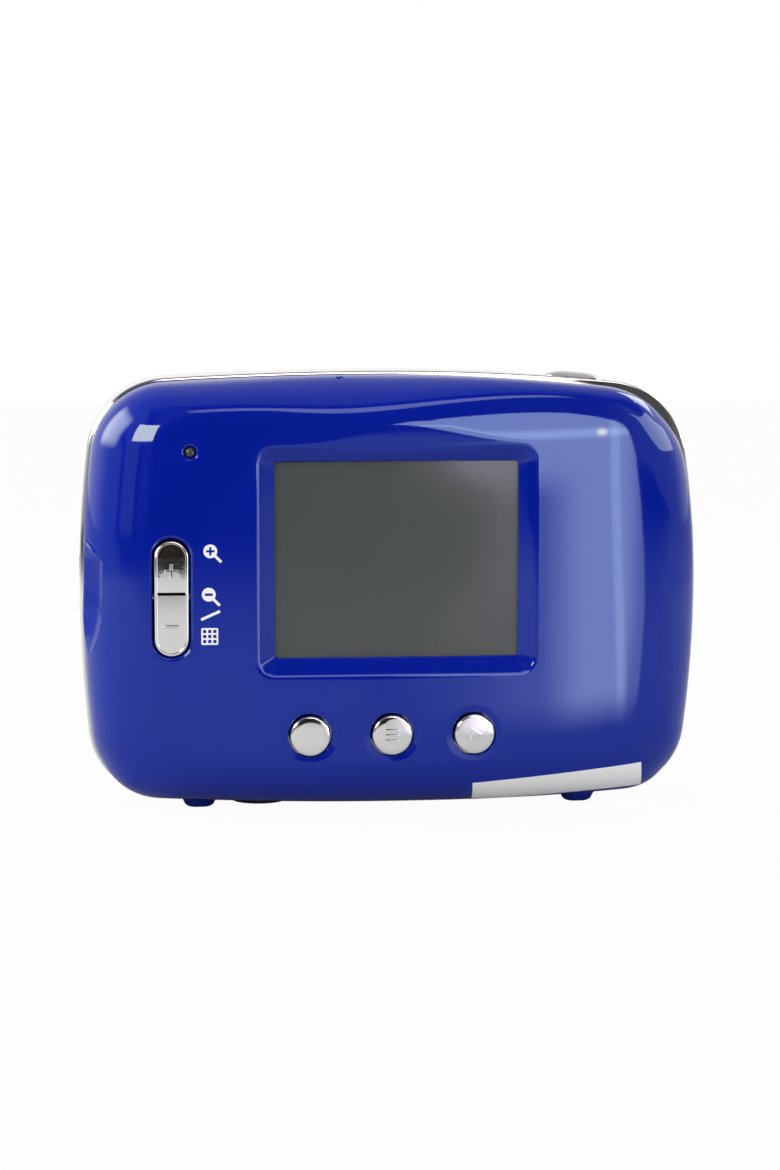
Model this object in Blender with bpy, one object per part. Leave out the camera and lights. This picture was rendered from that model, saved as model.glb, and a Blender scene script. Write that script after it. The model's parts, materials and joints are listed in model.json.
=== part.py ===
"""Kids digital camera: a palm-sized toy camera, built as an assembly of separate pieces.

Sizes are in millimetres, and become metres where a mesh is made. The camera stands on four feet at
z = 0. The screen faces -Y, the lens faces +Y, and +X is to the right of someone looking at the screen.
"""

import cmath
import math
from collections import namedtuple

import bmesh
import bpy
from mathutils import Vector

MM = 0.001
SHARP_ANGLE = math.radians(32)
ROUND_STEPS = 12
KEY_STEPS = 20

# Outlines seen from the screen side. Each quadrant joins a side arc, a corner arc and a cap arc, and
# its numbers are those three radii. The top right quadrant is rounder on the shell than on the band,
# so the band shows there.
Outline = namedtuple("Outline", "x z half_width top bottom top_right top_left bottom_left bottom_right")
SHELL = Outline(0, 31.5, 44.8, 31.15, 30.85, (117, 275, 14.5), (160, 560, 11.5), (190, 500, 12), (160, 435, 11.5))
BAND = Outline(0, 31.5, 45.1, 31.5, 31.15, (132, 333, 13.1), (160, 560, 11.8), (190, 500, 12.3), (160, 435, 11.8))
STRAIGHT = 4000
BEZEL = Outline(0.1, 36.45, 19.55, 16.18, 16.18, *[(STRAIGHT, STRAIGHT, 1.7)] * 4)
SCREEN_OPENING = Outline(0, 36.57, 17.3, 13.85, 13.85, *[(STRAIGHT, STRAIGHT, 0.8)] * 4)
SIDE_STEPS = 3
CORNER_STEPS = 5
CAP_STEPS = 4

# Depths along Y
WALL = 1.8
REAR_PARTING = -5.05
REAR_DEPTH = 10.95
BACK_Y = REAR_PARTING - REAR_DEPTH
BACK_INNER_Y = BACK_Y + WALL
BAND_REAR = -4.95
BAND_FRONT = 7.95
BAND_WALL = 2.2
BAND_CHAMFER = 0.35
FRONT_PARTING = 8.05
FRONT_DEPTH = 4.0
FRONT_INNER_Y = FRONT_PARTING + FRONT_DEPTH - WALL
FRONT_EDGE = 6.0

# Rounding of the back: the share of the way from the outline to the bezel that the edge takes up
EDGE_LEFT = 0.45
EDGE_RIGHT = 0.26
EDGE_TOP = 0.5
EDGE_BOTTOM = 0.38
EDGE_STEPS = 6
ROLL_START = 13.0
ROLL_START_INSIDE = 20.0
ROLL_END = 37.0
ROLL_DROP = 3.0
BEVEL_Y = -14.8

# Feet
REAR_FOOT = ((1.5, 0.0), (2.2, 1.2), (2.4, 3.4))
REAR_FEET = ((-28.4, -10.0), (27.0, -10.0))
FRONT_FOOT = ((1.1, 0.0), (1.5, 1.2), (1.6, 4.3))
FRONT_FEET = ((-27.7, 9.75), (27.7, 9.75))

# Keys on the back
KEY_X = {"left": -12.56, "menu": -0.79, "playback": 11.05}
KEY_Z = 11.3
KEY_RADIUS = 2.87
KEY_HOLE_RADIUS = 3.1
KEY_TOP_Y = -16.9
KEY_STEM_Y = -11.25
SWITCH_TOP_Y = -10.6
SWITCH_HALF = 2.25
ROCKER_X = -32.2
ROCKER_Z = 31.2
ROCKER_HALF = (2.4, 8.2)
ROCKER_CLEARANCE = 0.3
ROCKER_AXIS_Y = -13.0
ROCKER_BACK_Y = -11.9
ROCKER_STEM_OFFSET = 5.5
ROCKER_PIN_RADIUS = 0.5
LED_X = -29.44
LED_Z = 51.9
LED_RADIUS = 0.7
MICROPHONE_X = -7.6
MICROPHONE_Y = -9.0

# Keys on top
KEY_ROW_Y = 1.5
POWER_X = 13.2
POWER_HALF = (5.5, 2.6)
SHUTTER_X = 27.95
SHUTTER_HALF = (4.45, 3.2)
TOP_KEY_CLEARANCE = 0.25
TOP_KEY_FLANGE = 0.7

# Boards and screws
BOARD_REAR_Y = -6.3
BOARD_FRONT_Y = -5.3
BOARD_POSTS = ((-31.0, 17.0), (-24.5, 54.5), (9.0, 56.0))
CASE_SCREWS = ((-39.0, 14.5, -12.6), (-39.0, 48.5, -12.6), (39.3, 20.0, -10.6), (39.3, 43.0, -10.6))
CASE_SEAT_Y = 4.0
TOP_BOARD_Z = (54.0, 55.0)

# Lens and flash on the front
LENS_X = -8.0
LENS_Z = 34.0
LENS_HOLE_RADIUS = 12.2
LENS_STEPS = 28
LENS_RING_FRONT = 16.9
SENSOR_POST_OFFSET = 14.3
FLASH_X = 6.0
FLASH_Z = 53.0
FLASH_HALF = (6.0, 3.0)

# Battery bay
CELL_X = (18.9, 29.7)
CELL_Y = 1.5
CELL_RADIUS = 5.2
CELL_BOTTOM = 5.1
CELL_LENGTH = 44.5
CELL_NUB = (1.9, 0.8)
DOOR_AXIS_X = 14.0
DOOR_AXIS_Z = 1.65
DOOR_END_X = 35.6
DOOR_Y = (-3.8, 6.7)
DOOR_THICKNESS = 1.7
DOOR_BARREL_RADIUS = 1.05
DOOR_PIN_RADIUS = 0.55

# Ports
FLAP_AXIS = (-44.05, 3.3)
FLAP_BARREL_RADIUS = 1.0
FLAP_Z = (28.0, 36.0)
FLAP_REAR_Y = -3.8
TRIPOD = (-19.3, -5.0)
TRIPOD_RADIUS = 3.95
TRIPOD_BORE_RADIUS = 3.2
TRIPOD_FACE_Z = 0.4
CARD_SLOT = ((-7.0, -4.3), (5.0, -2.7))

# Colour, roughness and metallic value of each finish
FINISHES = {
    "blue_gloss": ((0.015, 0.055, 0.38), 0.12, 0.0),
    "blue_rubber": ((0.012, 0.04, 0.26), 0.55, 0.0),
    "chrome": ((0.78, 0.79, 0.80), 0.12, 1.0),
    "steel": ((0.55, 0.55, 0.56), 0.3, 1.0),
    "brass": ((0.72, 0.52, 0.25), 0.3, 1.0),
    "black_plastic": ((0.018, 0.018, 0.02), 0.5, 0.0),
    "white_plastic": ((0.8, 0.8, 0.78), 0.45, 0.0),
    "clear_plastic": ((0.75, 0.77, 0.78), 0.06, 0.0),
    "screen_glass": ((0.06, 0.065, 0.07), 0.1, 0.0),
    "lens_glass": ((0.35, 0.38, 0.45), 0.03, 0.0),
    "circuit_board": ((0.02, 0.16, 0.06), 0.45, 0.0),
    "cell_wrap": ((0.05, 0.05, 0.055), 0.35, 0.0),
}


def on_axis(axis, along, u, v):
    """Point at a distance along an axis, with u and v as the other two coordinates in order."""
    return {"x": (along, u, v), "y": (u, along, v), "z": (u, v, along)}[axis]


def add_loft(bm, rings, wrap=False):
    """Joins rings of points into a closed solid: wrapped into a loop, or capped at both ends."""
    loops = [[bm.verts.new(point) for point in ring] for ring in rings]
    pairs = list(zip(loops, loops[1:]))
    if wrap:
        pairs.append((loops[-1], loops[0]))
    else:
        bm.faces.new(loops[0])
        bm.faces.new(loops[-1])
    count = len(loops[0])
    for first, second in pairs:
        for k in range(count):
            after = (k + 1) % count
            bm.faces.new((first[k], first[after], second[after], second[k]))


def add_prism(bm, axis, outline, low, high):
    """Adds a straight solid of one outline between two distances along an axis."""
    add_loft(bm, [[on_axis(axis, along, u, v) for u, v in outline] for along in (low, high)])


def add_box(bm, low, high):
    """Adds a box between two corners."""
    outline = ((low[0], low[1]), (high[0], low[1]), (high[0], high[1]), (low[0], high[1]))
    add_prism(bm, "z", outline, low[2], high[2])


def add_turned(bm, axis, centre, profile, steps=ROUND_STEPS, bore=False):
    """Turns a profile of (radius, distance) points about an axis through centre."""
    rings = []
    for radius, along in profile:
        turns = [2 * math.pi * k / steps for k in range(steps)]
        ring = [(centre[0] + radius * math.cos(a), centre[1] + radius * math.sin(a)) for a in turns]
        rings.append([on_axis(axis, along, u, v) for u, v in ring])
    add_loft(bm, rings, wrap=bore)


def add_rod(bm, axis, centre, radius, low, high, steps=ROUND_STEPS):
    """Adds a plain round rod along an axis."""
    add_turned(bm, axis, centre, ((radius, low), (radius, high)), steps)


def rounded(centre, half, radius, corner_steps=4):
    """Rounded rectangle as a ring of points; a full radius makes a pill, and equal halves a circle."""
    ring = []
    for quarter in range(4):
        side_u = 1 if quarter in (0, 3) else -1
        side_v = 1 if quarter in (0, 1) else -1
        for k in range(corner_steps + 1):
            angle = math.pi / 2 * (quarter + k / corner_steps)
            u = centre[0] + side_u * (half[0] - radius) + radius * math.cos(angle)
            v = centre[1] + side_v * (half[1] - radius) + radius * math.sin(angle)
            ring.append((u, v))
    return ring


def add_steps(bm, axis, centre, sections, corner_steps=4):
    """Adds a solid of rounded-rectangle sections, each (half sizes, corner radius, distance)."""
    rings = []
    for half, radius, along in sections:
        ring = rounded(centre, half, radius, corner_steps)
        rings.append([on_axis(axis, along, u, v) for u, v in ring])
    add_loft(bm, rings)


def quadrant(half_width, height, radii, inset):
    """Points of one outline quadrant, from the side's middle to the cap's middle, moved in by inset."""
    side_r, cap_r, corner_r = radii
    side = complex(half_width - side_r, 0)
    cap = complex(0, height - cap_r)
    span = abs(cap - side)
    along = (cap - side) / span
    reach = ((side_r - corner_r) ** 2 - (cap_r - corner_r) ** 2 + span**2) / (2 * span)
    rise = math.sqrt((side_r - corner_r) ** 2 - reach**2)
    centres = [side + along * complex(reach, sign * rise) for sign in (1, -1)]
    corner = max(centres, key=lambda centre: centre.real + centre.imag)
    low = cmath.phase(corner - side)
    high = cmath.phase(corner - cap)
    arcs = (
        (side, side_r, 0.0, low, SIDE_STEPS),
        (corner, corner_r, low, high, CORNER_STEPS),
        (cap, cap_r, high, math.pi / 2, CAP_STEPS),
    )
    points = []
    for centre, radius, start, end, steps in arcs:
        for k in range(steps):
            point = centre + cmath.rect(radius - inset, start + (end - start) * k / steps)
            points.append((point.real, point.imag))
    points.append((0.0, height - inset))
    return points


def outline_ring(shape, inset=0.0):
    """Closed ring of (x, z) points round an outline, from the right side over the top, moved in by inset."""
    corner = {}
    for name in ("top_right", "top_left", "bottom_left", "bottom_right"):
        height = shape.top if name.startswith("top") else shape.bottom
        corner[name] = quadrant(shape.half_width, height, getattr(shape, name), inset)
    ring = corner["top_right"][:-1]
    ring += [(-x, z) for x, z in reversed(corner["top_left"][1:])]
    ring += [(-x, -z) for x, z in corner["bottom_left"][:-1]]
    ring += [(x, -z) for x, z in reversed(corner["bottom_right"][1:])]
    return [(x + shape.x, z + shape.z) for x, z in ring]


def bottom_height(shape, x, inset):
    """Height of an outline's bottom edge at x, on its right half."""
    points = quadrant(shape.half_width, shape.bottom, shape.bottom_right, inset)
    for (x0, z0), (x1, z1) in zip(points, points[1:]):
        if x1 <= x <= x0:
            return shape.z - (z0 + (z1 - z0) * (x - x0) / (x1 - x0))
    raise ValueError(f"no bottom edge at x = {x}")


def material(finish):
    """The Principled material of a finish, made once."""
    found = bpy.data.materials.get(finish)
    if found:
        return found
    colour, roughness, metallic = FINISHES[finish]
    made = bpy.data.materials.new(finish)
    made.use_nodes = True
    shader = made.node_tree.nodes["Principled BSDF"]
    shader.inputs["Base Color"].default_value = (*colour, 1.0)
    shader.inputs["Roughness"].default_value = roughness
    shader.inputs["Metallic"].default_value = metallic
    return made


def to_object(name, bm, origin):
    """Makes the solids in bm into an object in metres, with its own origin at a point."""
    bmesh.ops.recalc_face_normals(bm, faces=bm.faces)
    for vertex in bm.verts:
        vertex.co = (vertex.co - Vector(origin)) * MM
    mesh = bpy.data.meshes.new(name)
    bm.to_mesh(mesh)
    bm.free()
    mesh.shade_smooth()
    mesh.set_sharp_from_angle(angle=SHARP_ANGLE)
    made = bpy.data.objects.new(name, mesh)
    made.location = Vector(origin) * MM
    bpy.context.scene.collection.objects.link(made)
    return made


def piece(name, bm, finish, origin=(0, 0, 0)):
    """One named sub-part of the camera."""
    made = to_object(name, bm, origin)
    made.data.materials.append(material(finish))
    return made


def combine(body, operation, bm):
    """Joins or cuts the solids in bm, which stay in the file as a hidden guide."""
    guide = to_object(f"{body.name}_{operation.lower()}", bm, (0, 0, 0))
    guide.hide_render = True
    guide.display_type = "WIRE"
    modifier = body.modifiers.new(operation.title(), "BOOLEAN")
    modifier.operation = operation
    modifier.solver = "EXACT"
    modifier.object = guide


def roll_off(x, start):
    """How far the right third of the back falls away from flat, beyond where the roll starts."""
    return ROLL_DROP * (max(0.0, x - start) / (ROLL_END - start)) ** 2


def edge_share(x, z):
    """Share of the way to the bezel that the rounded edge takes up at an outline point."""
    across = ((x - SHELL.x) / SHELL.half_width) ** 4
    up = ((z - SHELL.z) / SHELL.top) ** 4
    side = EDGE_RIGHT if x > SHELL.x else EDGE_LEFT
    cap = EDGE_TOP if z > SHELL.z else EDGE_BOTTOM
    return (across * side + up * cap) / (across + up)


def rear_ring(rim, share_of_edge, share_of_flat, rise, wall):
    """One ring of the rear shell's surface, on lines from the rim to the bezel."""
    start = ROLL_START_INSIDE if wall else ROLL_START
    ring = []
    for (x0, z0), (x1, z1) in zip(rim, outline_ring(BEZEL)):
        edge = edge_share(x0, z0)
        share = edge * share_of_edge + (1 - edge) * share_of_flat
        x = x0 + (x1 - x0) * share
        z = z0 + (z1 - z0) * share
        ring.append((x, REAR_PARTING - (REAR_DEPTH - wall - roll_off(x, start)) * rise, z))
    return ring


def rear_surface(wall, edge_steps, flat_shares):
    """Rings of the back from the parting line to the bezel, moved in by wall."""
    rim = outline_ring(SHELL, wall)
    rings = []
    for k in range(edge_steps + 1):
        turn = math.pi / 2 * k / edge_steps
        rings.append(rear_ring(rim, 1 - math.cos(turn), 0.0, math.sin(turn), wall))
    rings += [rear_ring(rim, 1.0, share, 1.0, wall) for share in flat_shares]
    return rings


def add_feet(bm, places, profile):
    """Adds moulded feet that reach the ground."""
    for place in places:
        add_turned(bm, "z", place, profile)


def rear_shell():
    """Back casing with the screen bezel, key holes, screw bosses and rear feet."""
    bm = bmesh.new()
    rings = rear_surface(0.0, EDGE_STEPS, (0.35, 0.7, 1.0))
    opening = outline_ring(SCREEN_OPENING)
    rings += [[(x, y, z) for x, z in opening] for y in (BEVEL_Y, BACK_INNER_Y)]
    rings += reversed(rear_surface(WALL, EDGE_STEPS - 2, (1.0,)))
    add_loft(bm, rings, wrap=True)
    shell = piece("rear_shell", bm, "blue_gloss")

    bm = bmesh.new()
    add_feet(bm, REAR_FEET, REAR_FOOT)
    for place in BOARD_POSTS:
        add_rod(bm, "y", place, 2.0, BACK_INNER_Y - 0.8, BOARD_REAR_Y - 0.15)
    for x, z, root in CASE_SCREWS:
        add_rod(bm, "y", (x, z), 2.2, root, 1.0)
    for side in (-1, 1):
        lug_x = ROCKER_X + side * 3.6
        add_box(bm, (lug_x - 0.6, BACK_Y + 1.4, ROCKER_Z - 1.4), (lug_x + 0.6, -12.0, ROCKER_Z + 1.4))
    add_box(bm, (24.0, BACK_INNER_Y - 0.1, 14.0), (25.2, BAND_REAR - 0.15, 48.0))
    combine(shell, "UNION", bm)

    bm = bmesh.new()
    for x in KEY_X.values():
        lip = ((KEY_HOLE_RADIUS + 1.8, BACK_Y - 0.5), (KEY_HOLE_RADIUS, BACK_Y + 0.5), (KEY_HOLE_RADIUS, -13.5))
        add_turned(bm, "y", (x, KEY_Z), lip, KEY_STEPS)
    slot = [size + ROCKER_CLEARANCE for size in ROCKER_HALF]
    wide = [size + 0.8 for size in slot]
    sections = ((wide, wide[0], BACK_Y - 0.5), (slot, slot[0], BACK_Y + 0.4), (slot, slot[0], -12.2))
    add_steps(bm, "y", (ROCKER_X, ROCKER_Z), sections)
    led_lip = ((LED_RADIUS + 0.8, BACK_Y - 0.4), (LED_RADIUS + 0.1, BACK_Y + 0.3), (LED_RADIUS + 0.1, -13.5))
    add_turned(bm, "y", (LED_X, LED_Z), led_lip)
    add_rod(bm, "z", (MICROPHONE_X, MICROPHONE_Y), 0.85, 58.0, 64.0)
    add_rod(bm, "z", TRIPOD, TRIPOD_RADIUS + 0.15, -1.0, 6.0, KEY_STEPS)
    for place in BOARD_POSTS:
        add_rod(bm, "y", place, 0.9, -12.0, -5.0)
    for x, z, root in CASE_SCREWS:
        add_rod(bm, "y", (x, z), 1.15, root + 3.0, 2.0)
    pin_place = (ROCKER_AXIS_Y, ROCKER_Z)
    add_rod(bm, "x", pin_place, ROCKER_PIN_RADIUS + 0.1, ROCKER_X - 4.4, ROCKER_X + 4.4)
    add_scoop(bm)
    combine(shell, "DIFFERENCE", bm)


def add_scoop(bm):
    """Adds the cutter of the finger scoop on the left edge: deep at its top, fading out downwards."""
    top = ((-44.2, REAR_PARTING + 1.0, 39.05), (-41.2, -13.3, 39.05))
    low = ((-45.3, REAR_PARTING + 1.0, 24.6), (-42.6, -13.3, 24.6))
    outside = -48.0
    rings = []
    for (front, rear) in (top, low):
        rings.append([front, rear, (outside, rear[1], rear[2]), (outside, front[1], front[2])])
    add_loft(bm, rings)


def trim_band():
    """Chrome band between the two casings."""
    bm = bmesh.new()
    sections = (
        (BAND_CHAMFER, BAND_REAR),
        (0.0, BAND_REAR + BAND_CHAMFER),
        (0.0, BAND_FRONT - BAND_CHAMFER),
        (BAND_CHAMFER, BAND_FRONT),
        (BAND_WALL, BAND_FRONT),
        (BAND_WALL, BAND_REAR),
    )
    add_loft(bm, [[(x, y, z) for x, z in outline_ring(BAND, inset)] for inset, y in sections], wrap=True)
    band = piece("trim_band", bm, "chrome")

    bm = bmesh.new()
    hinge_left = DOOR_AXIS_X - DOOR_BARREL_RADIUS - 0.25
    add_box(bm, (hinge_left, DOOR_Y[0] - 0.2, -1.0), (DOOR_END_X + 0.3, DOOR_Y[1] + 0.2, 5.0))
    add_rod(bm, "z", TRIPOD, TRIPOD_RADIUS + 0.15, -1.0, 6.0, KEY_STEPS)
    add_box(bm, (*CARD_SLOT[0], -1.0), (*CARD_SLOT[1], 4.0))
    add_box(bm, (-47.0, FLAP_REAR_Y - 0.2, FLAP_Z[0] - 0.2), (-42.0, FLAP_AXIS[1] + 1.5, FLAP_Z[1] + 0.2))
    for x, half in ((POWER_X, POWER_HALF), (SHUTTER_X, SHUTTER_HALF)):
        hole = rounded((x, KEY_ROW_Y), [size + TOP_KEY_CLEARANCE for size in half], half[1])
        add_prism(bm, "z", hole, 57.0, 66.0)
    combine(band, "DIFFERENCE", bm)

    bm = bmesh.new()
    pin_place = (DOOR_AXIS_X, DOOR_AXIS_Z)
    add_rod(bm, "y", pin_place, DOOR_PIN_RADIUS + 0.12, DOOR_Y[0] - 0.8, DOOR_Y[1] + 0.9)
    combine(band, "DIFFERENCE", bm)


def front_shell():
    """Front casing with the lens hole, flash window, screw wells and front feet."""
    bm = bmesh.new()
    outer = []
    inner = []
    for k in range(5):
        turn = math.pi / 2 * k / 4
        out = FRONT_EDGE * (1 - math.cos(turn))
        y = FRONT_PARTING + FRONT_DEPTH * math.sin(turn)
        outer.append([(x, y, z) for x, z in outline_ring(SHELL, out)])
        out = WALL + (FRONT_EDGE - WALL) * (1 - math.cos(turn))
        y = FRONT_PARTING + (FRONT_DEPTH - WALL) * math.sin(turn)
        inner.append([(x, y, z) for x, z in outline_ring(SHELL, out)])
    add_loft(bm, [*reversed(inner), *outer])
    shell = piece("front_shell", bm, "blue_gloss")

    posts = [(LENS_X + side * SENSOR_POST_OFFSET, LENS_Z) for side in (-1, 1)]
    wall_middle = FRONT_INNER_Y + WALL / 2
    bm = bmesh.new()
    add_feet(bm, FRONT_FEET, FRONT_FOOT)
    for x, z, _ in CASE_SCREWS:
        add_rod(bm, "y", (x, z), 2.8, 1.2, wall_middle)
    for place in posts:
        add_rod(bm, "y", place, 1.7, 0.3, wall_middle)
    combine(shell, "UNION", bm)

    bm = bmesh.new()
    add_rod(bm, "y", (LENS_X, LENS_Z), LENS_HOLE_RADIUS, 9.0, 14.0, LENS_STEPS)
    add_prism(bm, "y", rounded((FLASH_X, FLASH_Z), FLASH_HALF, 1.2), 9.0, 14.0)
    for x, z, _ in CASE_SCREWS:
        well = ((2.1, 14.0), (2.1, CASE_SEAT_Y), (1.25, CASE_SEAT_Y), (1.25, 0.0))
        add_turned(bm, "y", (x, z), well)
    for place in posts:
        add_rod(bm, "y", place, 0.7, 0.0, 6.0)
    combine(shell, "DIFFERENCE", bm)


def screw(name, place, head_radius, shank_radius, seat, head_top, tip):
    """Pan-head screw along Y with a cross recess left plain."""
    lift = 0.25 * (head_top - seat)
    profile = (
        (shank_radius * 0.5, tip),
        (shank_radius, tip + (shank_radius if seat > tip else -shank_radius)),
        (shank_radius, seat),
        (head_radius, seat),
        (head_radius, head_top - lift),
        (head_radius * 0.7, head_top),
    )
    bm = bmesh.new()
    add_turned(bm, "y", place, profile)
    piece(name, bm, "steel")


def screws():
    """Screws that hold the casings, the main board and the sensor board."""
    for number, (x, z, root) in enumerate(CASE_SCREWS, 1):
        screw(f"case_screw_{number}", (x, z), 1.85, 1.0, CASE_SEAT_Y + 0.1, CASE_SEAT_Y + 1.4, root + 3.6)
    for number, place in enumerate(BOARD_POSTS, 1):
        screw(f"board_screw_{number}", place, 1.6, 0.75, BOARD_FRONT_Y + 0.1, BOARD_FRONT_Y + 1.3, -10.8)
    for number, side in enumerate((-1, 1), 1):
        place = (LENS_X + side * SENSOR_POST_OFFSET, LENS_Z)
        screw(f"sensor_screw_{number}", place, 1.5, 0.55, -1.0, -2.1, 5.0)


def display():
    """Screen window, display panel and the frame that carries it."""
    centre = (SCREEN_OPENING.x, SCREEN_OPENING.z)
    bm = bmesh.new()
    add_prism(bm, "y", rounded(centre, (19.0, 15.5), 1.0), BACK_INNER_Y + 0.1, BACK_INNER_Y + 1.1)
    piece("lcd_window", bm, "clear_plastic")
    bm = bmesh.new()
    add_prism(bm, "y", rounded(centre, (18.4, 15.1), 0.4), -12.9, -11.3)
    piece("lcd_panel", bm, "screen_glass")
    bm = bmesh.new()
    pocket = ((18.6, 15.3), 0.5)
    body = ((20.5, 17.0), 1.0)
    add_steps(bm, "y", centre, ((*pocket, -11.2), (*pocket, -13.0), (*body, -13.0), (*body, -6.5)))
    piece("lcd_frame", bm, "white_plastic")


def rear_keys():
    """Round keys under the screen, each with a flange behind the shell and a stem to its switch."""
    for name, x in KEY_X.items():
        profile = (
            (1.2, KEY_STEM_Y),
            (1.2, -13.0),
            (3.45, -13.0),
            (3.45, -13.6),
            (KEY_RADIUS, -13.6),
            (KEY_RADIUS, -16.25),
            (KEY_RADIUS - 0.25, -16.6),
            (KEY_RADIUS - 0.9, KEY_TOP_Y + 0.08),
            (0.6, KEY_TOP_Y),
        )
        bm = bmesh.new()
        add_turned(bm, "y", (x, KEY_Z), profile, KEY_STEPS)
        piece(f"{name}_button", bm, "chrome", (x, BACK_Y, KEY_Z))


def zoom_rocker():
    """Pill-shaped rocker with two stems, and the pin it tips on."""
    centre = (ROCKER_X, ROCKER_Z)
    sections = []
    for inset, y in ((0.0, ROCKER_BACK_Y), (0.0, -16.3), (0.2, -16.65), (0.7, KEY_TOP_Y)):
        half = [size - inset for size in ROCKER_HALF]
        sections.append((half, half[0], y))
    bm = bmesh.new()
    add_steps(bm, "y", centre, sections, 6)
    rocker = piece("zoom_rocker", bm, "chrome", (ROCKER_X, ROCKER_AXIS_Y, ROCKER_Z))
    bm = bmesh.new()
    for side in (-1, 1):
        stem = (ROCKER_X, ROCKER_Z + side * ROCKER_STEM_OFFSET)
        add_rod(bm, "y", stem, 1.1, ROCKER_BACK_Y - 0.4, KEY_STEM_Y)
    combine(rocker, "UNION", bm)
    bm = bmesh.new()
    axis_place = (ROCKER_AXIS_Y, ROCKER_Z)
    add_rod(bm, "x", axis_place, ROCKER_PIN_RADIUS + 0.12, ROCKER_X - 5.0, ROCKER_X + 5.0)
    combine(rocker, "DIFFERENCE", bm)
    bm = bmesh.new()
    add_rod(bm, "x", axis_place, ROCKER_PIN_RADIUS, ROCKER_X - 4.2, ROCKER_X + 4.2)
    piece("rocker_pin", bm, "steel")


def top_keys():
    """Power key and shutter key in the band, whose tops follow the band's slope."""
    keys = (
        ("power_button", POWER_X, POWER_HALF, 59.0, 62.85, -0.04),
        ("shutter_button", SHUTTER_X, SHUTTER_HALF, 58.0, 62.4, -0.085),
    )
    for name, x, half, flange_z, top_z, slope in keys:
        flange = [size + TOP_KEY_FLANGE for size in half]
        sections = (
            (flange, flange[1], flange_z, 0.0),
            (flange, flange[1], flange_z + 0.8, 0.0),
            (half, half[1], flange_z + 0.8, 0.0),
            (half, half[1], top_z - 0.5, slope),
            ([size - 0.25 for size in half], half[1] - 0.25, top_z - 0.12, slope),
            ([size - 0.9 for size in half], half[1] - 0.9, top_z, slope),
        )
        rings = []
        for size, radius, z, tilt in sections:
            ring = rounded((x, KEY_ROW_Y), size, radius, 6)
            rings.append([(u, v, z + tilt * (u - x)) for u, v in ring])
        bm = bmesh.new()
        add_loft(bm, rings)
        piece(name, bm, "chrome", (x, KEY_ROW_Y, top_z))


def switch(name, axis, centre, base, body_top, plunger_top):
    """Tact switch with a square body and a round plunger."""
    square = ((SWITCH_HALF, SWITCH_HALF), 0.3)
    plunger = ((1.1, 1.1), 1.1)
    bm = bmesh.new()
    sections = ((*square, base), (*square, body_top), (*plunger, body_top), (*plunger, plunger_top))
    add_steps(bm, axis, centre, sections, 2)
    piece(name, bm, "black_plastic")


def switches():
    """Switches behind the rear keys and the rocker, and under the top keys."""
    base = BOARD_REAR_Y - 0.1
    body_top = SWITCH_TOP_Y + 0.8
    for name, x in KEY_X.items():
        switch(f"{name}_switch", "y", (x, KEY_Z), base, body_top, SWITCH_TOP_Y)
    for name, side in (("zoom_in", 1), ("zoom_out", -1)):
        place = (ROCKER_X, ROCKER_Z + side * ROCKER_STEM_OFFSET)
        switch(f"{name}_switch", "y", place, base, body_top, SWITCH_TOP_Y)
    base = TOP_BOARD_Z[1] + 0.1
    switch("power_switch", "z", (POWER_X, KEY_ROW_Y), base, 57.4, 58.2)
    switch("shutter_switch", "z", (SHUTTER_X, KEY_ROW_Y), base, 56.3, 57.0)


def boards():
    """Main board with its chip, and the small board under the top keys."""
    left, right, low, high = -36.5, 12.0, 8.6, 58.6
    tab_left, tab_low, tab_high = -42.0, 25.0, 39.0
    outline = (
        (left, low), (right, low), (right, high), (left + 6, high), (left, high - 6),
        (left, tab_high), (tab_left, tab_high), (tab_left, tab_low), (left, tab_low),
    )
    bm = bmesh.new()
    add_prism(bm, "y", outline, BOARD_REAR_Y, BOARD_FRONT_Y)
    board = piece("main_board", bm, "circuit_board")
    bm = bmesh.new()
    for place in BOARD_POSTS:
        add_rod(bm, "y", place, 1.0, -8.0, -4.0)
    combine(board, "DIFFERENCE", bm)

    bm = bmesh.new()
    chip = ((5.0, 5.0), 0.2)
    top = ((4.7, 4.7), 0.2)
    add_steps(bm, "y", (-8.0, 47.0), ((*chip, -5.2), (*chip, -4.3), (*top, -4.0)), 1)
    piece("main_chip", bm, "black_plastic")

    bm = bmesh.new()
    add_prism(bm, "z", rounded((21.0, 0.1), (13.0, 3.5), 0.8), *TOP_BOARD_Z)
    piece("top_board", bm, "circuit_board")


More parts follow.
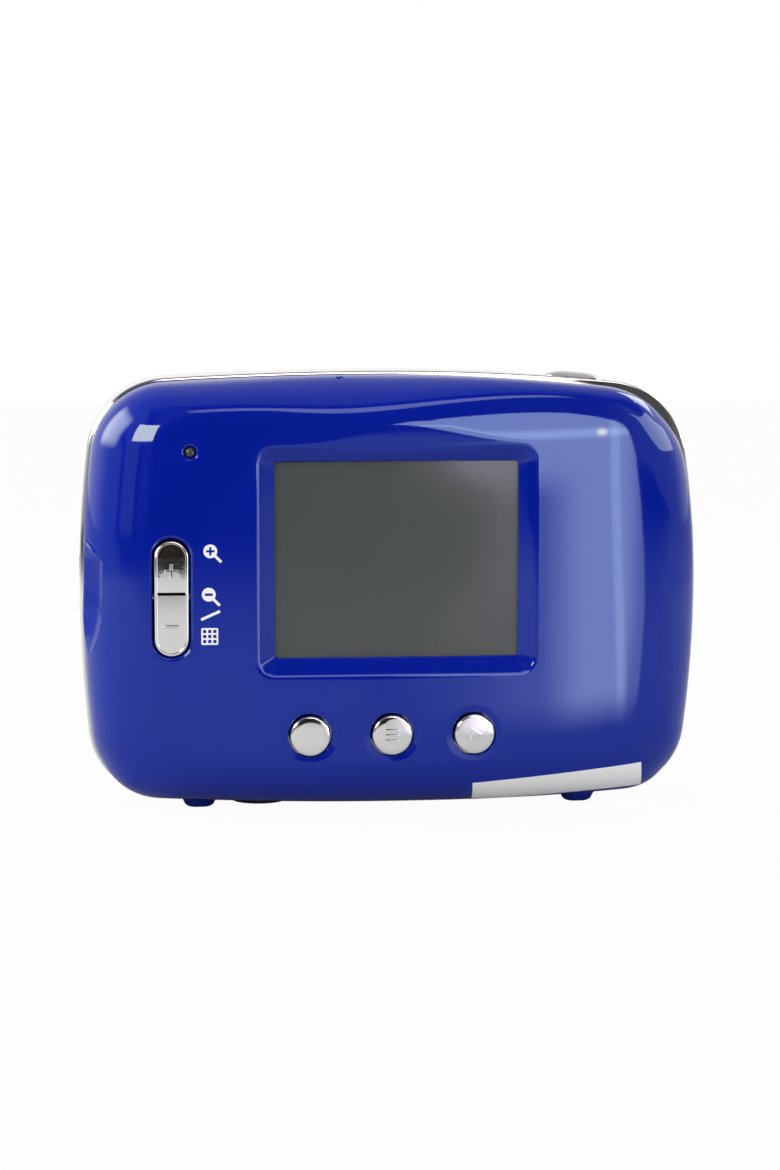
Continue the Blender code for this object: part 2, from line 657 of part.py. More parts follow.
def ports():
    """Card socket, data socket and its hinged flap, and the tripod bush."""
    bm = bmesh.new()
    pocket = ((5.7, 0.75), 0.2)
    body = ((7.5, 1.4), 0.3)
    sections = ((*pocket, 15.0), (*pocket, 2.9), (*body, 2.9), (*body, 17.9))
    add_steps(bm, "z", (-1.0, -3.7), sections, 1)
    piece("sd_socket", bm, "steel")

    bm = bmesh.new()
    pocket = ((1.4, 3.2), 0.4)
    body = ((1.9, 3.8), 0.6)
    sections = ((*pocket, -37.0), (*pocket, -42.8), (*body, -42.8), (*body, -35.0))
    add_steps(bm, "x", (-3.25, 32.0), sections, 2)
    piece("usb_socket", bm, "steel")

    outer_x = SHELL.x - BAND.half_width
    inner_x = outer_x + 1.7
    outline = [(outer_x, FLAP_REAR_Y), (outer_x, FLAP_AXIS[1] - 0.7)]
    for k in range(9):
        angle = math.pi - math.pi * k / 8
        spot = complex(*FLAP_AXIS) + cmath.rect(FLAP_BARREL_RADIUS, angle)
        outline.append((spot.real, spot.imag))
    outline += [(inner_x, FLAP_AXIS[1] - 0.9), (inner_x, FLAP_REAR_Y)]
    bm = bmesh.new()
    add_prism(bm, "z", outline, *FLAP_Z)
    piece("usb_flap", bm, "blue_rubber", (*FLAP_AXIS, sum(FLAP_Z) / 2))

    profile = (
        (TRIPOD_BORE_RADIUS, 7.2),
        (TRIPOD_BORE_RADIUS, TRIPOD_FACE_Z),
        (TRIPOD_RADIUS, TRIPOD_FACE_Z),
        (TRIPOD_RADIUS, 4.4),
        (5.0, 4.4),
        (5.0, 8.3),
    )
    bm = bmesh.new()
    add_turned(bm, "z", TRIPOD, profile, KEY_STEPS)
    piece("tripod_insert", bm, "black_plastic")


def signals():
    """Status light, microphone and buzzer."""
    profile = (
        (0.9, BOARD_REAR_Y - 0.1),
        (0.9, -13.0),
        (1.3, -13.0),
        (1.3, -14.0),
        (LED_RADIUS, -14.0),
        (LED_RADIUS, BACK_Y - 0.05),
        (LED_RADIUS * 0.7, BACK_Y - 0.3),
        (LED_RADIUS * 0.2, BACK_Y - 0.4),
    )
    bm = bmesh.new()
    add_turned(bm, "y", (LED_X, LED_Z), profile)
    piece("status_led", bm, "clear_plastic")
    bm = bmesh.new()
    add_rod(bm, "z", (MICROPHONE_X, MICROPHONE_Y), 2.0, 56.9, 59.4)
    piece("microphone", bm, "steel")
    bm = bmesh.new()
    add_rod(bm, "y", (-28.5, 46.0), 7.0, 8.9, FRONT_INNER_Y - 0.15, KEY_STEPS)
    piece("buzzer", bm, "brass")


def lens_module():
    """Sensor board, image sensor, lens holder, barrel and front element."""
    centre = (LENS_X, LENS_Z)
    bm = bmesh.new()
    add_prism(bm, "y", rounded(centre, (16.2, 7.8), 1.0), -0.9, 0.1)
    board = piece("sensor_board", bm, "circuit_board")
    bm = bmesh.new()
    for side in (-1, 1):
        add_rod(bm, "y", (LENS_X + side * SENSOR_POST_OFFSET, LENS_Z), 0.8, -2.0, 1.0)
    combine(board, "DIFFERENCE", bm)

    bm = bmesh.new()
    add_prism(bm, "y", rounded(centre, (3.0, 3.0), 0.2, 1), 0.2, 1.4)
    piece("image_sensor", bm, "black_plastic")
    bm = bmesh.new()
    profile = ((7.2, 0.2), (7.2, 8.0), (5.2, 8.0), (5.2, 3.0), (4.6, 3.0), (4.6, 0.2))
    add_turned(bm, "y", centre, profile, KEY_STEPS, bore=True)
    piece("lens_holder", bm, "black_plastic")
    bm = bmesh.new()
    profile = ((5.0, 3.2), (5.0, 11.5), (4.3, 11.5), (4.3, 10.0), (3.6, 10.0), (3.6, 3.2))
    add_turned(bm, "y", centre, profile, KEY_STEPS, bore=True)
    piece("lens_barrel", bm, "black_plastic")
    bm = bmesh.new()
    profile = ((4.15, 10.15), (4.15, 10.6), (3.3, 11.2), (1.9, 11.6), (0.5, 11.75))
    add_turned(bm, "y", centre, profile, KEY_STEPS)
    piece("front_lens", bm, "lens_glass")


def lens_front():
    """Chrome ring round the lens, and the clear window in it."""
    centre = (LENS_X, LENS_Z)
    neck = LENS_HOLE_RADIUS - 0.2
    face = FRONT_PARTING + FRONT_DEPTH + 0.1
    profile = (
        (neck, 9.5),
        (neck, face),
        (13.5, face),
        (13.5, 14.9),
        (12.7, 16.3),
        (11.6, LENS_RING_FRONT),
        (10.6, LENS_RING_FRONT),
        (9.5, 15.7),
        (9.5, 13.9),
        (8.0, 13.9),
        (8.0, 9.5),
    )
    bm = bmesh.new()
    add_turned(bm, "y", centre, profile, LENS_STEPS, bore=True)
    piece("lens_ring", bm, "chrome")
    bm = bmesh.new()
    add_rod(bm, "y", centre, 9.35, 14.0, 15.2, LENS_STEPS)
    piece("lens_window", bm, "clear_plastic")


def flash():
    """Flash window, reflector, tube and the capacitor that feeds it."""
    centre = (FLASH_X, FLASH_Z)
    flange = ((FLASH_HALF[0] + 0.7, FLASH_HALF[1] + 0.7), 1.5)
    pane = ((FLASH_HALF[0] - 0.15, FLASH_HALF[1] - 0.15), 1.1)
    back = FRONT_INNER_Y - 0.1
    front = FRONT_PARTING + FRONT_DEPTH
    bm = bmesh.new()
    add_steps(bm, "y", centre, ((*flange, 9.3), (*flange, back), (*pane, back), (*pane, front)))
    piece("flash_window", bm, "clear_plastic")
    bm = bmesh.new()
    sections = (((4.6, 1.2), 0.4, 5.0), ((5.6, 2.9), 0.8, 9.2), ((6.3, 3.5), 1.0, 9.2), ((5.3, 1.9), 0.8, 4.2))
    add_steps(bm, "y", centre, sections)
    piece("flash_reflector", bm, "chrome")
    bm = bmesh.new()
    add_rod(bm, "x", (6.4, FLASH_Z), 0.75, FLASH_X - 4.5, FLASH_X + 4.5)
    piece("flash_tube", bm, "lens_glass")
    bm = bmesh.new()
    add_turned(bm, "x", (6.0, 11.0), ((3.4, -35.5), (3.9, -35.0), (3.9, -13.5), (3.4, -13.0)))
    piece("flash_capacitor", bm, "black_plastic")


def battery_door():
    """Door in the band's bottom with a hinge barrel, its pin and the contact that bridges the cells."""
    spots = [DOOR_AXIS_X + 0.6 + (DOOR_END_X - DOOR_AXIS_X - 0.6) * k / 10 for k in range(11)]
    outline = [(x, bottom_height(BAND, x, 0.0)) for x in spots]
    outline += [(x, bottom_height(BAND, x, 0.0) + DOOR_THICKNESS) for x in reversed(spots[1:])]
    for k in range(8):
        angle = math.radians(60 + 195 * k / 7)
        spot = complex(DOOR_AXIS_X, DOOR_AXIS_Z) + cmath.rect(DOOR_BARREL_RADIUS, angle)
        outline.append((spot.real, spot.imag))
    bm = bmesh.new()
    add_prism(bm, "y", outline, *DOOR_Y)
    axis_place = (DOOR_AXIS_X, DOOR_AXIS_Z)
    door = piece("battery_door", bm, "chrome", (DOOR_AXIS_X, sum(DOOR_Y) / 2, DOOR_AXIS_Z))
    bm = bmesh.new()
    add_rod(bm, "y", axis_place, DOOR_PIN_RADIUS + 0.12, DOOR_Y[0] - 1, DOOR_Y[1] + 1)
    combine(door, "DIFFERENCE", bm)
    bm = bmesh.new()
    add_rod(bm, "y", axis_place, DOOR_PIN_RADIUS, DOOR_Y[0] - 0.7, DOOR_Y[1] + 0.8)
    piece("battery_door_pin", bm, "steel")

    middle = sum(CELL_X) / 2
    leg_z = bottom_height(BAND, middle + 1.1, 0.0) + DOOR_THICKNESS + 0.1
    bar_low, bar_high = 4.3, 4.8
    half_bar = 6.7
    outline = (
        (middle - 1.1, leg_z), (middle + 1.1, leg_z), (middle + 1.1, bar_low), (middle + half_bar, bar_low),
        (middle + half_bar, bar_high), (middle - half_bar, bar_high), (middle - half_bar, bar_low),
        (middle - 1.1, bar_low),
    )
    bm = bmesh.new()
    add_prism(bm, "y", outline, -1.0, 4.0)
    piece("battery_bridge", bm, "steel", (DOOR_AXIS_X, CELL_Y, DOOR_AXIS_Z))


def batteries():
    """Two cells in their cradle, with a plus and a minus contact under its roof."""
    middle = (sum(CELL_X) / 2, CELL_Y)
    cavity = ((10.85, 5.45), 5.44)
    body = ((11.9, 6.45), 1.5)
    roof = 50.9
    bm = bmesh.new()
    add_steps(bm, "z", middle, ((*cavity, roof), (*cavity, 5.2), (*body, 5.2), (*body, 53.8)))
    cradle = piece("battery_cradle", bm, "black_plastic")
    bm = bmesh.new()
    for x in (middle[0] - 7.0, middle[0] + 7.0):
        add_box(bm, (x - 1.0, 7.5, 12.0), (x + 1.0, FRONT_INNER_Y - 0.15, 46.0))
    combine(cradle, "UNION", bm)

    nub_radius, nub_height = CELL_NUB
    top = CELL_BOTTOM + CELL_LENGTH
    shoulder = top - nub_height
    upright = (
        (CELL_RADIUS - 0.4, CELL_BOTTOM), (CELL_RADIUS, CELL_BOTTOM + 0.4), (CELL_RADIUS, shoulder - 0.4),
        (CELL_RADIUS - 0.4, shoulder), (nub_radius, shoulder), (nub_radius, top),
    )
    turned_over = [(radius, CELL_BOTTOM + top - z) for radius, z in upright]
    for number, (x, profile) in enumerate(zip(CELL_X, (upright, turned_over)), 1):
        bm = bmesh.new()
        add_turned(bm, "z", (x, CELL_Y), profile, KEY_STEPS)
        piece(f"battery_cell_{number}", bm, "cell_wrap")

    strip_low, strip_high, strip_half = 50.2, 50.7, 3.0
    bm = bmesh.new()
    add_box(bm, (CELL_X[0] - strip_half, -1.0, top + 0.2), (CELL_X[0] + strip_half, 4.0, strip_high))
    piece("battery_plus_contact", bm, "steel")
    outline = [
        (-strip_half, strip_high), (-strip_half, strip_low), (-1.3, strip_low), (0.0, top + 0.15),
        (1.3, strip_low), (strip_half, strip_low), (strip_half, strip_high),
    ]
    bm = bmesh.new()
    add_prism(bm, "y", [(CELL_X[1] + x, z) for x, z in outline], -1.0, 4.0)
    piece("battery_minus_contact", bm, "steel")


def main():
    """Builds every piece of the camera in an empty scene."""
    for existing in list(bpy.data.objects):
        bpy.data.objects.remove(existing, do_unlink=True)
    for build in (
        rear_shell, trim_band, front_shell, screws, display, rear_keys, zoom_rocker, top_keys, switches,
        boards, ports, signals, lens_module, lens_front, flash, battery_door, batteries,
    ):
        build()


main()
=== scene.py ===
"""Looks of a kids digital camera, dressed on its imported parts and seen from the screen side.

Sizes are in millimetres and become metres where a mesh is made. The camera stands at z = 0, the screen
faces -Y, the lens faces +Y, and +X is to the right of someone looking at the screen.
"""

import cmath
import json
import logging
import math
from dataclasses import dataclass, field
from enum import Enum
from typing import Callable, Optional, Sequence, Union

import bmesh
import bpy
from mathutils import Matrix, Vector
from mathutils.bvhtree import BVHTree
from mathutils.interpolate import poly_3d_calc

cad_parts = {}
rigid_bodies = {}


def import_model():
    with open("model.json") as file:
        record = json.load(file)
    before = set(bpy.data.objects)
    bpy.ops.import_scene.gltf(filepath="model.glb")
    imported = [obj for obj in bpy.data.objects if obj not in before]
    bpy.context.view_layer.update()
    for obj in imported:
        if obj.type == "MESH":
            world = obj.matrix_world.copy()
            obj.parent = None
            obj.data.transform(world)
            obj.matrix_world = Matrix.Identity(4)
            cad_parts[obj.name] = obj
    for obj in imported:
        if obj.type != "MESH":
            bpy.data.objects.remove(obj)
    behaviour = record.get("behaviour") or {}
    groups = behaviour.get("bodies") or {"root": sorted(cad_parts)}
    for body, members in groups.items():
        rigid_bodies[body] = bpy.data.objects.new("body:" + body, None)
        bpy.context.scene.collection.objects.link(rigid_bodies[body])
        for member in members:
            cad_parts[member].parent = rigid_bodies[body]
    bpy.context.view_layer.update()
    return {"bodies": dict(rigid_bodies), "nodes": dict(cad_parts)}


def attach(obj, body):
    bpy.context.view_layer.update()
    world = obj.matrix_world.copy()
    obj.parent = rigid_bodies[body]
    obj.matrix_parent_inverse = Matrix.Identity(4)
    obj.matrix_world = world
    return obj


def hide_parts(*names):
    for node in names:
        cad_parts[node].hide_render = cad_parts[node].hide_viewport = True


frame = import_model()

Pair = tuple[float, float]
Point = tuple[float, float, float]
Colour = tuple[float, float, float]
Path = list[Pair]
Ring = list[Point]
Mesh = bpy.types.Mesh

log = logging.getLogger("kids_camera")

MM = 0.001
BODY = "camera_body"
SHARP = math.radians(32)
ROUND_STEPS = 64
RAY_START_Y = -40.0

# Depths along Y, and the wall's thickness, that several pieces share
REAR_PARTING = -5.05
BACK_Y = -16.0
BACK_INNER_Y = -14.2
BAND_REAR = -4.95
BAND_FRONT = 7.95
FRONT_PARTING = 8.05
FRONT_Y = 12.05
WALL = 1.8

# Places and sizes that several pieces share
LED_PLACE = (-29.44, 51.9)
TRIPOD_PLACE = (-19.3, -5.0)
TRIPOD_HOLE = (4.1, (-1.0, 6.0))
DOOR_AXIS = (14.0, 1.65)
DOOR_PIN_HOLE = 0.67
TOP_KEY_Y = 1.5
TOP_KEYS = {"power_button": (13.2, (5.5, 2.6)), "shutter_button": (27.95, (4.45, 3.2))}
FLASH_CENTRE = (6.0, 53.0)
SCREW_PLACES = ((-39.0, 14.5), (-39.0, 48.5), (39.3, 20.0), (39.3, 43.0))
ZOOM_X = -32.2
ZOOM_Z = 31.2
ZOOM_GROOVE_Z = 31.9
LENS_CENTRE = (-8.0, 34.0)
LENS_CLEAR_RADIUS = 4.7


def smooth(value: float, low: float, high: float) -> float:
    """Share from 0 at low to 1 at high that starts and ends gently."""
    share = min(1.0, max(0.0, (value - low) / (high - low)))
    return share * share * (3 - 2 * share)


def bend(start: Vector, corner: Vector, end: Vector, steps: int) -> list[Vector]:
    """Curve from start to end that turns at a corner.

    Args:
        start: Point where the curve leaves the first side.
        corner: Point where the two sides would meet.
        end: Point where the curve joins the second side.
        steps: Number of stretches that the curve is cut into.

    Returns:
        The curve's points, both ends included.
    """
    shares = [k / steps for k in range(steps + 1)]
    return [start * (1 - t) ** 2 + corner * (2 * t * (1 - t)) + end * t**2 for t in shares]


def eased(*corners: Point, closed: bool = False, steps: int = 5) -> Path:
    """Path through corners, each rounded off.

    Args:
        corners: Each corner's two coordinates, and how far from it the rounding starts.
        closed: Whether the path goes back to its first corner.
        steps: Number of stretches in each rounding.

    Returns:
        The path's points.
    """
    spots = [Vector(corner[:2]) for corner in corners]
    path: Path = []
    for k, (here, corner) in enumerate(zip(spots, corners)):
        reach = corner[2]
        at_end = not closed and k in (0, len(spots) - 1)
        if reach <= 0 or at_end:
            path.append(tuple(here))
            continue
        before = here + (spots[k - 1] - here).normalized() * reach
        after = here + (spots[(k + 1) % len(spots)] - here).normalized() * reach
        path += [tuple(spot) for spot in bend(before, here, after, steps)]
    return path


def arc(centre: Pair, radius: float, start: float, end: float, steps: int) -> Path:
    """Points of an arc from one angle to another, both ends included."""
    turns = [start + (end - start) * k / steps for k in range(steps + 1)]
    return [(centre[0] + radius * math.cos(a), centre[1] + radius * math.sin(a)) for a in turns]


def rounded(centre: Pair, half: Pair, radius: float, steps: int = 10) -> Path:
    """Rounded rectangle as a ring of points; a full radius makes a pill, and equal halves a circle.

    Args:
        centre: Middle of the rectangle.
        half: Half its two sides.
        radius: Radius of its corners.
        steps: Number of stretches in each corner.

    Returns:
        The ring's points.
    """
    ring: Path = []
    for quarter in range(4):
        side_u = 1 if quarter in (0, 3) else -1
        side_v = 1 if quarter in (0, 1) else -1
        middle = (centre[0] + side_u * (half[0] - radius), centre[1] + side_v * (half[1] - radius))
        ring += arc(middle, radius, math.pi / 2 * quarter, math.pi / 2 * (quarter + 1), steps)
    return ring


def shrinking(centre: Pair, half: Pair, radius: float, steps: int = 10) -> Callable[[float], Path]:
    """Rounded rectangle as a function of how far its sides are moved in."""
    least = 0.02

    def outline(inset: float) -> Path:
        """Ring of the rectangle moved in by inset."""
        size = (half[0] - inset, half[1] - inset)
        return rounded(centre, size, max(radius - inset, least), steps)

    return outline


def cross(centre: Pair, reach: float, thick: float) -> Callable[[float], Path]:
    """Plus sign as a function of how far its sides are moved in.

    Args:
        centre: Middle of the sign.
        reach: Distance from the middle to the end of an arm.
        thick: Half the width of an arm.

    Returns:
        A function from the inset to the ring's points.
    """

    def outline(inset: float) -> Path:
        """Ring of the sign moved in by inset."""
        far, near = reach - inset, thick - inset
        arm = [(far, -near), (far, near), (near, near)]
        ring = [complex(*corner) * 1j**quarter for quarter in range(4) for corner in arm]
        return [(centre[0] + corner.real, centre[1] + corner.imag) for corner in ring]

    return outline


def linked(name: str, data: bpy.types.ID) -> bpy.types.Object:
    """Object that holds the data, linked to the scene."""
    made = bpy.data.objects.new(name, data)
    bpy.context.scene.collection.objects.link(made)
    return made


def flat_face(name: str, corners: Sequence[Point]) -> bpy.types.Object:
    """Object of one flat face, with its corners in millimetres."""
    mesh = bpy.data.meshes.new(name)
    mesh.from_pydata([Vector(corner) * MM for corner in corners], [], [tuple(range(len(corners)))])
    return linked(name, mesh)


def turn_to(made: bpy.types.Object, place: Point, target: Point) -> None:
    """Puts an object at a place so that it faces a target, both in millimetres."""
    made.location = Vector(place) * MM
    made.rotation_euler = (Vector(target) - Vector(place)).to_track_quat("-Z", "Y").to_euler()


def search_tree(mesh: Mesh) -> BVHTree:
    """Tree that finds places on a mesh."""
    return BVHTree.FromPolygons(
        [vertex.co for vertex in mesh.vertices], [tuple(face.vertices) for face in mesh.polygons]
    )


def cast_back(tree: BVHTree, x: float, z: float) -> tuple[Vector, Vector]:
    """Place in millimetres where a line along +Y first meets a mesh, and the mesh's normal there."""
    spot, normal, _, _ = tree.ray_cast(Vector((x, RAY_START_Y, z)) * MM, Vector((0, 1, 0)))
    return spot / MM, normal


class Axis(Enum):
    """Direction that a solid is built along."""

    X = "x"
    Y = "y"
    Z = "z"

    def point(self, along: float, u: float, v: float) -> Point:
        """Point at a distance along the axis, with u and v as the other two coordinates in order."""
        return {Axis.X: (along, u, v), Axis.Y: (u, along, v), Axis.Z: (u, v, along)}[self]


class Cut(Enum):
    """Way of combining two meshes."""

    JOIN = "UNION"
    REMOVE = "DIFFERENCE"


@dataclass(frozen=True)
class Outline:
    """Closed outline of four quadrants, each of a side arc, a corner arc and a cap arc of given radii."""

    x: float
    z: float
    half_width: float
    top: float
    bottom: float
    top_right: Point
    top_left: Point
    bottom_left: Point
    bottom_right: Point
    arc_steps: tuple[int, int, int] = (14, 18, 24)

    def quadrant(self, height: float, radii: Point) -> list[tuple[complex, complex]]:
        """Points and outward normals of one quadrant.

        Args:
            height: Distance from the middle to the cap.
            radii: Radii of the side arc, the cap arc and the corner arc.

        Returns:
            Points with their normals, from the side's middle to the cap's middle.
        """
        side_r, cap_r, corner_r = radii
        side = complex(self.half_width - side_r, 0)
        cap = complex(0, height - cap_r)
        span = abs(cap - side)
        reach = ((side_r - corner_r) ** 2 - (cap_r - corner_r) ** 2 + span**2) / (2 * span)
        rise = math.sqrt((side_r - corner_r) ** 2 - reach**2)
        centres = [side + (cap - side) / span * complex(reach, sign * rise) for sign in (1, -1)]
        corner = max(centres, key=lambda centre: centre.real + centre.imag)
        low = cmath.phase(corner - side)
        high = cmath.phase(corner - cap)
        turns = ((side, side_r, 0.0, low), (corner, corner_r, low, high), (cap, cap_r, high, math.pi / 2))
        found = []
        for (centre, radius, start, end), steps in zip(turns, self.arc_steps):
            for k in range(steps):
                normal = cmath.rect(1, start + (end - start) * k / steps)
                found.append((centre + radius * normal, normal))
        found.append((complex(0, height), 1j))
        return found

    def stations(self) -> list[tuple[Pair, Pair]]:
        """Points round the outline with their outward normals, from the right side over the top."""
        quarters = (
            (1, 1, self.quadrant(self.top, self.top_right)[:-1]),
            (-1, 1, self.quadrant(self.top, self.top_left)[:0:-1]),
            (-1, -1, self.quadrant(self.bottom, self.bottom_left)[:-1]),
            (1, -1, self.quadrant(self.bottom, self.bottom_right)[:0:-1]),
        )
        found = []
        for across, up, quarter in quarters:
            for spot, normal in quarter:
                place = (self.x + across * spot.real, self.z + up * spot.imag)
                found.append((place, (across * normal.real, up * normal.imag)))
        return found

    def ring(self, y: float, inset: float = 0.0) -> Ring:
        """Ring at a depth, moved in by inset."""
        return [(x - nx * inset, y, z - nz * inset) for (x, z), (nx, nz) in self.stations()]

    def bottom_at(self, x: float) -> float:
        """Height of the bottom edge at x, on the right half."""
        spots = [spot for spot, _ in self.quadrant(self.bottom, self.bottom_right)]
        for first, second in zip(spots, spots[1:]):
            if second.real <= x <= first.real:
                share = (x - first.real) / (second.real - first.real)
                return self.z - (first.imag + (second.imag - first.imag) * share)
        raise ValueError(f"no bottom edge at x = {x}")


STRAIGHT = 4000.0
SHELL = Outline(
    0, 31.5, 44.8, 31.15, 30.85, (117, 275, 14.5), (160, 560, 11.5), (190, 600, 10.3), (160, 620, 9.9)
)
BAND = Outline(
    0, 31.5, 45.1, 31.5, 31.15, (132, 333, 12.1), (160, 560, 11.8), (190, 600, 10.6), (160, 620, 10.2)
)
FLAT = Outline(
    1.95, 31.5, 36.35, 26.15, 23.4, (117, 275, 8.0), (160, 560, 5.5), (190, 500, 6.0), (160, 435, 7.0)
)
BEZEL = Outline(0.05, 36.45, 20.05, 16.2, 16.7, *[(STRAIGHT, STRAIGHT, 2.4)] * 4)
SCREEN = Outline(0.05, 36.57, 17.5, 13.85, 14.25, *[(STRAIGHT, STRAIGHT, 0.45)] * 4)


class Solid:
    """Closed shapes in millimetres, gathered in one mesh."""

    def __init__(self) -> None:
        """Starts with no shapes."""
        self.bm = bmesh.new()

    def loft(self, rings: Sequence[Sequence[Point]], wrap: bool = False, ladder: bool = False) -> "Solid":
        """Joins rings of points into a closed solid.

        Args:
            rings: Rings of equally many points.
            wrap: Whether the last ring joins the first, instead of both being capped.
            ladder: Whether a cap is a row of four-sided faces between the ring's two halves.

        Returns:
            This solid.
        """
        loops = [[self.bm.verts.new(point) for point in ring] for ring in rings]
        pairs = list(zip(loops, loops[1:]))
        count = len(loops[0])
        cap = [range(count)]
        if ladder:
            cap = [(k, k + 1, count - 2 - k, count - 1 - k) for k in range(count // 2 - 1)]
        if wrap:
            pairs.append((loops[-1], loops[0]))
        else:
            for loop in (loops[0], loops[-1]):
                for corners in cap:
                    self.bm.faces.new([loop[k] for k in corners])
        for first, second in pairs:
            for k in range(count):
                after = (k + 1) % count
                self.bm.faces.new((first[k], first[after], second[after], second[k]))
        return self

    def stack(self, axis: Axis, outline: Callable[[float], Path], path: Path) -> "Solid":
        """Stacks rings of one outline, each moved in by path's first number, at its second along an axis."""
        return self.loft([[axis.point(along, u, v) for u, v in outline(inset)] for inset, along in path])

    def turned(
        self, axis: Axis, centre: Pair, path: Path, steps: int = ROUND_STEPS, bore: bool = False
    ) -> "Solid":
        """Turns a path about an axis.

        Args:
            axis: Direction of the axis.
            centre: Place of the axis.
            path: Points of radius and distance along the axis.
            steps: Number of sides.
            bore: Whether the path closes on itself, which leaves the middle open.

        Returns:
            This solid.
        """
        rings = []
        for radius, along in path:
            ring = arc(centre, radius, 0.0, 2 * math.pi, steps)[:-1]
            rings.append([axis.point(along, u, v) for u, v in ring])
        return self.loft(rings, bore)

    def rod(self, axis: Axis, centre: Pair, radius: float, ends: Pair, steps: int = ROUND_STEPS) -> "Solid":
        """Adds a straight round solid between two distances along an axis."""
        return self.turned(axis, centre, [(radius, along) for along in ends], steps)

    def prism(self, axis: Axis, outline: Sequence[Pair], low: float, high: float) -> "Solid":
        """Adds a straight solid of one outline between two distances along an axis."""
        return self.loft([[axis.point(along, u, v) for u, v in outline] for along in (low, high)])

    def box(self, low: Point, high: Point) -> "Solid":
        """Adds a box between two corners."""
        outline = ((low[0], low[1]), (high[0], low[1]), (high[0], high[1]), (low[0], high[1]))
        return self.prism(Axis.Z, outline, low[2], high[2])

    def soften(self, width: float, steps: int = 3) -> "Solid":
        """Rounds every sharp edge."""
        bmesh.ops.recalc_face_normals(self.bm, faces=self.bm.faces)
        sharp = [edge for edge in self.bm.edges if edge.calc_face_angle(0.0) > SHARP]
        bmesh.ops.bevel(
            self.bm, geom=sharp, offset=width, segments=steps, profile=0.5, affect="EDGES", clamp_overlap=True
        )
        return self

    def mesh(self) -> Mesh:
        """Turns the shapes into a mesh in metres, shaded smooth between its sharp edges."""
        bmesh.ops.recalc_face_normals(self.bm, faces=self.bm.faces)
        bmesh.ops.scale(self.bm, vec=(MM, MM, MM), verts=self.bm.verts)
        made = bpy.data.meshes.new("shape")
        self.bm.to_mesh(made)
        self.bm.free()
        shade(made)
        return made


def shade(mesh: Mesh) -> None:
    """Shades a mesh smooth between its sharp edges."""
    mesh.shade_smooth()
    mesh.set_sharp_from_angle(angle=SHARP)


def carve(base: Mesh, cut: Cut, solid: Solid) -> Mesh:
    """Joins a solid to a mesh, or cuts it out.

    Args:
        base: Mesh to change.
        cut: Whether the solid is joined or removed.
        solid: Shapes to join or remove.

    Returns:
        A new mesh.
    """
    holder, tool = linked("holder", base), linked("tool", solid.mesh())
    modifier = holder.modifiers.new("carve", "BOOLEAN")
    modifier.operation = cut.value
    modifier.solver = "EXACT"
    modifier.object = tool
    bpy.context.view_layer.update()
    result = bpy.data.meshes.new_from_object(holder.evaluated_get(bpy.context.evaluated_depsgraph_get()))
    for made in (holder, tool):
        bpy.data.objects.remove(made, do_unlink=True)
    shade(result)
    return result


def keep_shading(mesh: Mesh, skin: Mesh) -> None:
    """Gives what is left of an uncut skin that skin's normals, so that cuts leave no marks in reflections.

    Args:
        mesh: The cut mesh.
        skin: The mesh before it was cut.
    """
    touching, alike, towards_middle = 2e-6, 0.97, 0.03
    corners = skin.corner_normals
    tree = search_tree(skin)
    normals = [Vector(corner.vector) for corner in mesh.corner_normals]
    for face in mesh.polygons:
        middle = face.center
        _, facing, _, gap = tree.find_nearest(middle)
        if gap > touching or facing.dot(face.normal) < alike:
            continue
        for loop in face.loop_indices:
            place = mesh.vertices[mesh.loops[loop].vertex_index].co
            spot, _, index, _ = tree.find_nearest(place.lerp(middle, towards_middle))
            found = skin.polygons[index]
            shares = poly_3d_calc([skin.vertices[v].co for v in found.vertices], spot)
            normal = Vector()
            for share, corner in zip(shares, found.loop_indices):
                normal += share * corners[corner].vector
            normals[loop] = normal.normalized()
    mesh.normals_split_custom_set(normals)


Input = Union["Value", float, Sequence[float]]


def operator(operation: str, swapped: bool = False) -> Callable[["Value", Input], "Value"]:
    """Method that adds a Math node for a value and another one, which comes first when swapped."""

    def method(self: "Value", other: Input) -> "Value":
        """Result of the operation."""
        first, second = (other, self) if swapped else (self, other)
        return self.graph.add("ShaderNodeMath", {"operation": operation}, {0: first, 1: second})

    return method


class Value:
    """A shader socket that takes part in Python arithmetic."""

    def __init__(self, graph: "Graph", socket: bpy.types.NodeSocket) -> None:
        """Keeps the socket and the graph that it belongs to."""
        self.graph = graph
        self.socket = socket

    __add__ = operator("ADD")
    __radd__ = operator("ADD", swapped=True)
    __sub__ = operator("SUBTRACT")
    __rsub__ = operator("SUBTRACT", swapped=True)
    __mul__ = operator("MULTIPLY")
    __rmul__ = operator("MULTIPLY", swapped=True)
    __lt__ = operator("LESS_THAN")


